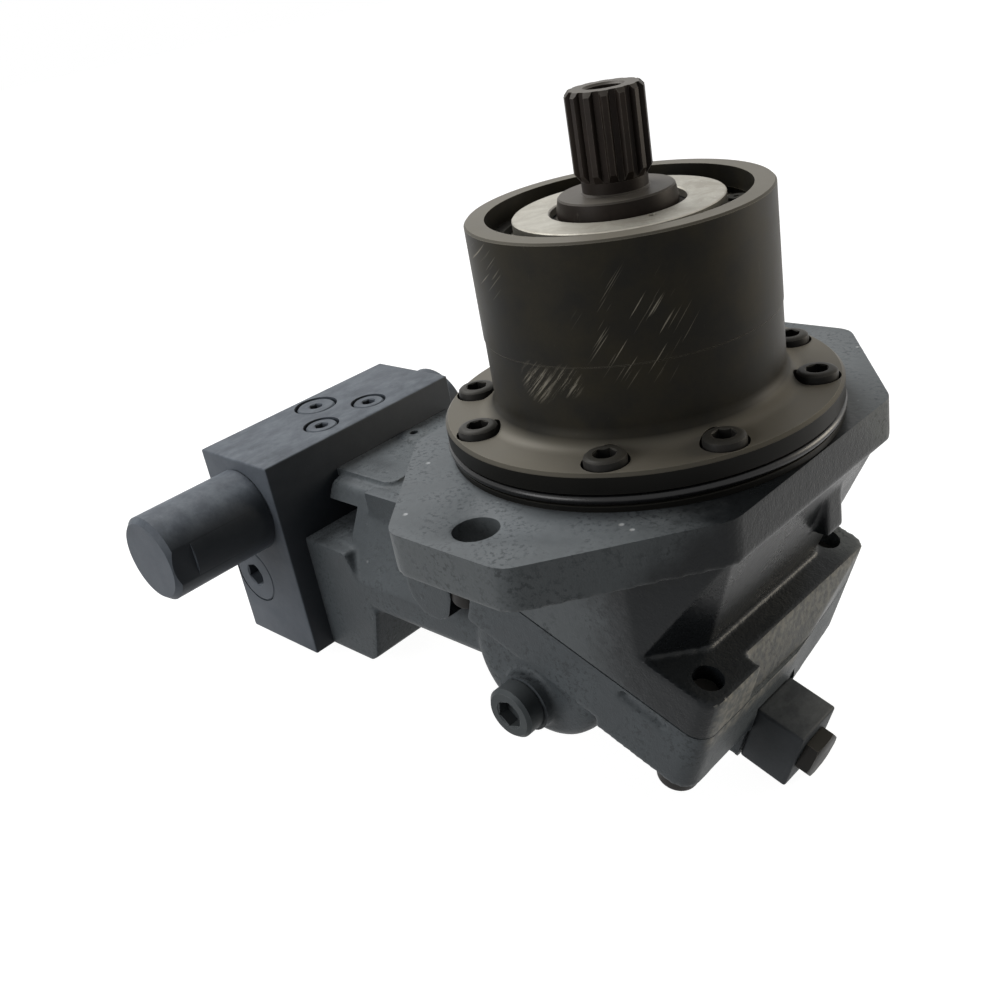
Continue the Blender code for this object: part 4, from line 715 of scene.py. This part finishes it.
def socket_plug(name, place, head, height, thread, length, key, chamfer, finish, slot, node):
    """A plug whose seat is the frame's XY plane, with a hexagon socket in its head."""
    made = turned([(0, height), (head - chamfer, height), (head, height - chamfer), (head, 0.3),
                   (head - 0.3, 0), (thread, 0), (thread, -length), (0, -length)], place, 64)
    socket = prism(arc(key / sqrt(3), 20, 320, 5), height - 6, height + 1, place)
    mouth = turned([(0, height + 0.5), (key / sqrt(3) + 0.7, height + 0.5), (key / sqrt(3) - 0.4, height - 0.6),
                    (0, height - 0.6)], place, 24)
    fitted(name, machined(made, socket, mouth), "housing", finish, slot, node)


PLUG_OXIDE = black_oxide("faded_oxide_plug", "3d4143", "464a4b", "7d8183", 0.3, 0.2)

socket_plug("gauge_plug", ALONG_Y @ Matrix.Translation(Vector((*gauge_line, 64.3)) * MM),
            12.3, 9.7, 8, 16, 12, 1.6, PLUG_OXIDE, "black_oxide_steel", "gauge_port_plug")

# Flushing valve
# A small milled block on the end of the port plate with the flushing spool in it, closed by a hexagon plug.


def valve_enamel(name, shade, light, dust, motor_side_shade):
    """Satin blue-grey enamel on milled iron: smooth and dusty on top, with painted shade that darkens the face
    turned to the motor nearly to black.
    """
    made, tree, shader = surface(name)
    spot = add(tree, "TexCoord").outputs["Object"]
    facing = add(tree, "SeparateXYZ", {"Vector": add(tree, "NewGeometry").outputs["Normal"]})
    peel = add(tree, "TexNoise", {"Vector": spot, "Scale": 1 / (1.4 * MM), "Detail": 3.0})
    cloud = add(tree, "TexNoise", {"Vector": spot, "Scale": 1 / (20 * MM), "Detail": 7.0, "Roughness": 0.68})
    wiping_and_top_light = add(tree, "TexNoise", {"Vector": add(tree, "Mapping", {"Vector": spot, "Scale": (1, 0.6, 1),
                                                                   "Rotation": (0, 0, 0.6)}).outputs[0],
                                   "Scale": 1 / (9 * MM), "Detail": 7.0, "Roughness": 0.7})
    tone = add(tree, "Mix", {FACTOR: add(tree, "MapRange", {"Value": cloud.outputs["Fac"], "From Min": 0.35,
                                                            "From Max": 0.68}).outputs[0],
                             FIRST: linear(shade), SECOND: linear(light)}, data_type="RGBA")
    upward = add(tree, "MapRange", {"Value": facing.outputs["Z"], "From Min": 0.1, "From Max": 0.9,
                                    "To Min": 0.1, "To Max": 0.5})
    film = add(tree, "Math", {0: upward.outputs[0],
                              1: add(tree, "MapRange", {"Value": wiping_and_top_light.outputs["Fac"], "From Min": 0.4,
                                                        "From Max": 0.72}).outputs[0]}, operation="MULTIPLY")
    dusty = add(tree, "Mix", {FACTOR: film.outputs[0], FIRST: tone.outputs[2], SECOND: linear(dust)},
                data_type="RGBA")
    # Painted shade: the face turned to the motor, which gets little light, is darkened nearly to black
    shaded_side = add(tree, "MapRange", {"Value": facing.outputs["X"], "From Min": 0.6, "From Max": 0.95,
                                    "To Max": motor_side_shade})
    shaded_side = add(tree, "Mix", {FACTOR: shaded_side.outputs[0], FIRST: dusty.outputs[2], SECOND: linear("14171b")},
                 data_type="RGBA")
    tree.links.new(shaded_side.outputs[2], shader.inputs["Base Color"])
    matt = add(tree, "MapRange", {"Value": wiping_and_top_light.outputs["Fac"], "To Min": 0.42, "To Max": 0.68})
    tree.links.new(matt.outputs[0], shader.inputs["Roughness"])
    skin = add(tree, "Bump", {"Strength": 0.3, "Distance": 0.12 * MM, "Height": peel.outputs["Fac"]})
    tree.links.new(skin.outputs[0], shader.inputs["Normal"])
    shader.inputs["IOR"].default_value = 1.5
    shader.inputs["Specular IOR Level"].default_value = 0.15
    return made


BLOCK_PAINT = valve_enamel("satin_enamel_on_milled_iron", "464b52", "53585f", "7f868c", 0.8)
DARK_BLOCK_PAINT = valve_enamel("satin_enamel_on_flushing_valve", "2d3033", "3a3d40", "64686b", 0.2)


def softened(made, width, steps=3):
    """Breaks the sharp edges of a milled block."""
    edges = made.modifiers.new("Edges", "BEVEL")
    edges.width = width * MM
    edges.segments = steps
    edges.limit_method = "ANGLE"
    edges.angle_limit = radians(40)
    return settled(made)


flushing_axis = PARTING @ ALONG_X @ Matrix.Translation(Vector((-3.25, -35.75, 0)) * MM)
flushing = softened(block((66.3, -16.5, -51.05), (89, 10, -20), PARTING), 1.2)
flushing = machined(flushing, rod(6.2, 60, 95, flushing_axis), rod(8.0, 79.5, 95, flushing_axis))
fitted("flushing_block", flushing, "housing", DARK_BLOCK_PAINT, "painted_block", "flushing_valve_body")
hex_plug = prism(arc(20 / sqrt(3), 10, 310, 5), 89.3, 95.2, flushing_axis)
crown = turned([(0, 89), (12.2, 89), (12.2, 94.2), (10.2, 95.3), (0, 95.3)], flushing_axis, 64)
hex_plug = settled(boolean(hex_plug, "INTERSECT", [crown]))
bpy.data.objects.remove(crown)
stem = rod(7.6, 80.5, 90, flushing_axis)
hex_plug = settled(boolean(hex_plug, "UNION", [stem]))
bpy.data.objects.remove(stem)
fitted("flushing_hex_plug", hex_plug, "housing", SCREW_OXIDE, "black_oxide_steel", "flushing_valve_plug")

# Counterbalance valve block
# A milled iron block bolted to the pad, painted blue-grey. Its two service ports with their tapped holes face
# away from the motor, and three plugs in spot-faced seats close the drillings in its top.

valve_block = softened(block((-253, -65, -146), (-194, 65, -33)), 1.0)
spool_line = (-222.3, -62.2)
large_plug = (-238, 3)
small_plugs = [(-211.5, 20), (-211.5, -14)]
front_plug = (-235.3, -107)
hose_screws = [(port + side * 11.1, -97 + up * 23.8)
               for port in (-28, 28) for side in (-1, 1) for up in (-1, 1)]
valve_block = machined(
    valve_block,
    rod(12.6, -70, 70, ALONG_Y, spool_line),
    *[rod(9.5, -254, -226, ALONG_X, (side * 28, -97)) for side in (-1, 1)],
    *[rod(7.5, -228, -193, ALONG_X, (side * 24, -97)) for side in (-1, 1)],
    *[rod(6, -97, -62.2, WORLD, (spool_line[0], side * 26), 24) for side in (-1, 1)],
    *[rod(8.4, -254, -242.5, ALONG_X, place) for place in valve_screws],
    *[rod(5.3, -243.5, -193, ALONG_X, place, 24) for place in valve_screws],
    rod(12.3, -39.5, -30, WORLD, large_plug, 64),
    rod(8.3, -51.2, -34, WORLD, large_plug, 32),
    *[rod(10, -39.5, -30, WORLD, place, 64) for place in small_plugs],
    *[rod(6.3, -51.2, -34, WORLD, place, 32) for place in small_plugs],
    *[rod(4.2, -254, -237, ALONG_X, place, 24) for place in hose_screws],
    rod(16.6, 61, 70, ALONG_Y, front_plug, 96),
    rod(12.3, 45, 70, ALONG_Y, front_plug))
fitted("valve_block_milling", valve_block, "housing", BLOCK_PAINT, "painted_block", "valve_block")

# Caps of the spool bore
# The long round cap in front holds a centring spring and has two spanner flats, the short one closes the back.

spool_axis = ALONG_Y @ Matrix.Translation(Vector((*spool_line, 0)) * MM)
cap = turned([(0, 125), (20.6, 125), (23.2, 122.4), (23.2, 65.6), (22.9, 65.3), (11.6, 65.3), (11.6, 117),
              (0, 117)], spool_axis)
cap = machined(cap, *[block((min(side * 21.3, side * 30), -30, 112), (max(side * 21.3, side * 30), 30, 150),
                            spool_axis) for side in (-1, 1)])
fitted("spring_cap", cap, "housing", BLOCK_PAINT, "painted_block", "valve_cap")
rear_cap = turned([(0, -74), (11.6, -74), (11.6, -65.3), (25, -65.3), (25, -76.5), (23.5, -78), (0, -78)],
                  spool_axis)
fitted("rear_spring_cap", rear_cap, "housing", BLOCK_PAINT, "painted_block", "valve_end_cap")

# Plugs of the valve block
# Flush steel plugs with hexagon sockets, painted over with the block, and one larger plug in the front face.

socket_plug("large_top_plug", Matrix.Translation(Vector((*large_plug, -39.2)) * MM), 10.8, 5.9, 8, 10, 7, 1.0,
            BLOCK_PAINT, "painted_block", "top_plug_large")
for number, (x, y) in enumerate(small_plugs, 1):
    socket_plug(f"small_top_plug_{number}", Matrix.Translation(Vector((x, y, -39.2)) * MM), 8.5, 5.9, 6, 10, 7,
                0.8, BLOCK_PAINT, "painted_block", f"top_plug_small_{number}")
socket_plug("front_face_plug", ALONG_Y @ Matrix.Translation(Vector((*front_plug, 61.3)) * MM), 16, 3.7, 12, 15,
            12, 0.6, BLOCK_PAINT, "painted_block", "front_plug")

# Valve block screws
# Four long cap screws in deep counterbores hold the block to the pad.

for number, (y, z) in enumerate(valve_screws, 1):
    seat = ALONG_X @ Matrix.Translation(Vector((y, z, -242.8)) * MM) @ Matrix.Rotation(pi, 4, "X")
    cap_screw(f"valve_cap_screw_{number}", seat, 5, 8, 10, 66, 8, f"valve_block_screw_{number}")

# Parts inside
# Bearings, pistons, cylinder block and spools are ground, the springs and plates are drawn or turned steel.

GROUND_STEEL = bare_steel("ground_bearing_steel", "9c9b97", "83827e", "c4c3be", 0.18)
SPRING_STEEL = bare_steel("drawn_spring_steel", "6e6c67", "504e4a", "8f8d86", 0.3)
inside = {
    GROUND_STEEL: ("bearing_steel", ["front_bearing_cup", "front_bearing_cone", "front_bearing_rollers",
                                     "rear_bearing_cup", "rear_bearing_cone", "rear_bearing_rollers",
                                     "cylinder_block", "centre_pin", "control_plate", "control_pin",
                                     "control_piston", "flushing_spool", "counterbalance_spool"]
                   + [f"piston_{number}" for number in range(1, 8)]),
    SPRING_STEEL: ("bare_steel", ["ball_retaining_plate", "centre_spring", "spool_spring_front",
                                  "spool_spring_rear"]),
    NITRILE: ("black_rubber", ["shaft_seal", "housing_seal"]),
    SCREW_OXIDE: ("black_oxide_steel", ["control_bore_plug"]),
}
for finish, (slot, names) in inside.items():
    for name in names:
        frame["nodes"][name].data.materials.clear()
        frame["nodes"][name].data.materials.append(finish)

# Studio
# A pale floor that keeps the shadow and looks white, a white room, and three large soft lamps: one from
# above on the left, one from the front and a low warm one from behind on the right.

for leftover in list(workshop.objects):
    if leftover.parent is None:
        bpy.data.objects.remove(leftover)


def seen_directly(tree):
    """One for rays from the camera, from a reflection or through glass, and nothing for the light's own."""
    paths = add(tree, "LightPath")
    seen = add(tree, "Math", {0: paths.outputs["Is Camera Ray"], 1: paths.outputs["Is Glossy Ray"]},
               operation="MAXIMUM")
    return add(tree, "Math", {0: seen.outputs[0], 1: paths.outputs["Is Transmission Ray"]},
               operation="MAXIMUM").outputs[0]


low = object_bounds()[0]
floor_mesh = bpy.data.meshes.new("floor")
panel = bmesh.new()
bmesh.ops.create_grid(panel, x_segments=1, y_segments=1, size=6, matrix=Matrix.Translation((0, 0, low[2])))
panel.to_mesh(floor_mesh)
panel.free()
floor = bpy.data.objects.new("floor", floor_mesh)
bpy.context.scene.collection.objects.link(floor)
floor_finish, tree, shader = surface("white_paper_floor")
shader.inputs["Base Color"].default_value = linear("7a7a7a")
shader.inputs["Roughness"].default_value = 0.9
glow = add(tree, "Math", {0: seen_directly(tree), 1: 0.95}, operation="MULTIPLY")
shader.inputs["Emission Color"].default_value = (1, 1, 1, 1)
tree.links.new(glow.outputs[0], shader.inputs["Emission Strength"])
floor_mesh.materials.append(floor_finish)

world = bpy.data.worlds.new("white_room")
bpy.context.scene.world = world
world.use_nodes = True
tree = world.node_tree
background = tree.nodes["Background"]
level = add(tree, "MapRange", {"Value": seen_directly(tree), "To Min": 0.13, "To Max": 1.0})
tree.links.new(level.outputs[0], background.inputs["Strength"])
background.inputs["Color"].default_value = (1, 1, 1, 1)


def softbox(name, place, width, power, tint):
    """A square lamp that points at a spot on the motor."""
    lamp = bpy.data.lights.new(name, "AREA")
    lamp.shape = "SQUARE"
    lamp.size = width
    lamp.energy = power
    lamp.color = tint
    made = bpy.data.objects.new(name, lamp)
    bpy.context.scene.collection.objects.link(made)
    way = Vector((-0.05, 0, -0.03)) - Vector(place)
    made.matrix_world = Matrix.Translation(place) @ way.to_track_quat("-Z", "Y").to_matrix().to_4x4()
    return made


softbox("key_softbox", (-0.8, 0.1, 1.15), 0.7, 16, (1.0, 1.0, 1.0))
softbox("front_softbox", (-0.4, -1.25, 0.35), 0.7, 9, (1.0, 1.0, 1.0))
softbox("warm_softbox", (0.75, 0.95, 0.22), 0.6, 10, (1.0, 0.91, 0.76))

# Camera
# It stands where the photograph was taken from.

camera = bpy.data.objects.new("camera", bpy.data.cameras.new("camera"))
camera.data.sensor_width = 36
camera.data.lens = 41.15
right_way = Vector((0.71652, 0.67757, -0.16584))
up_way = Vector((-0.20224, 0.42931, 0.88022))
back_way = Vector((0.66760, -0.59716, 0.44464))
view = Matrix((right_way, up_way, back_way)).transposed().to_4x4()
view.translation = Vector((277.88, -334.54, 189.54)) * MM
camera.matrix_world = view
bpy.context.scene.collection.objects.link(camera)
bpy.context.scene.camera = camera
bpy.context.scene.view_settings.view_transform = "Standard"
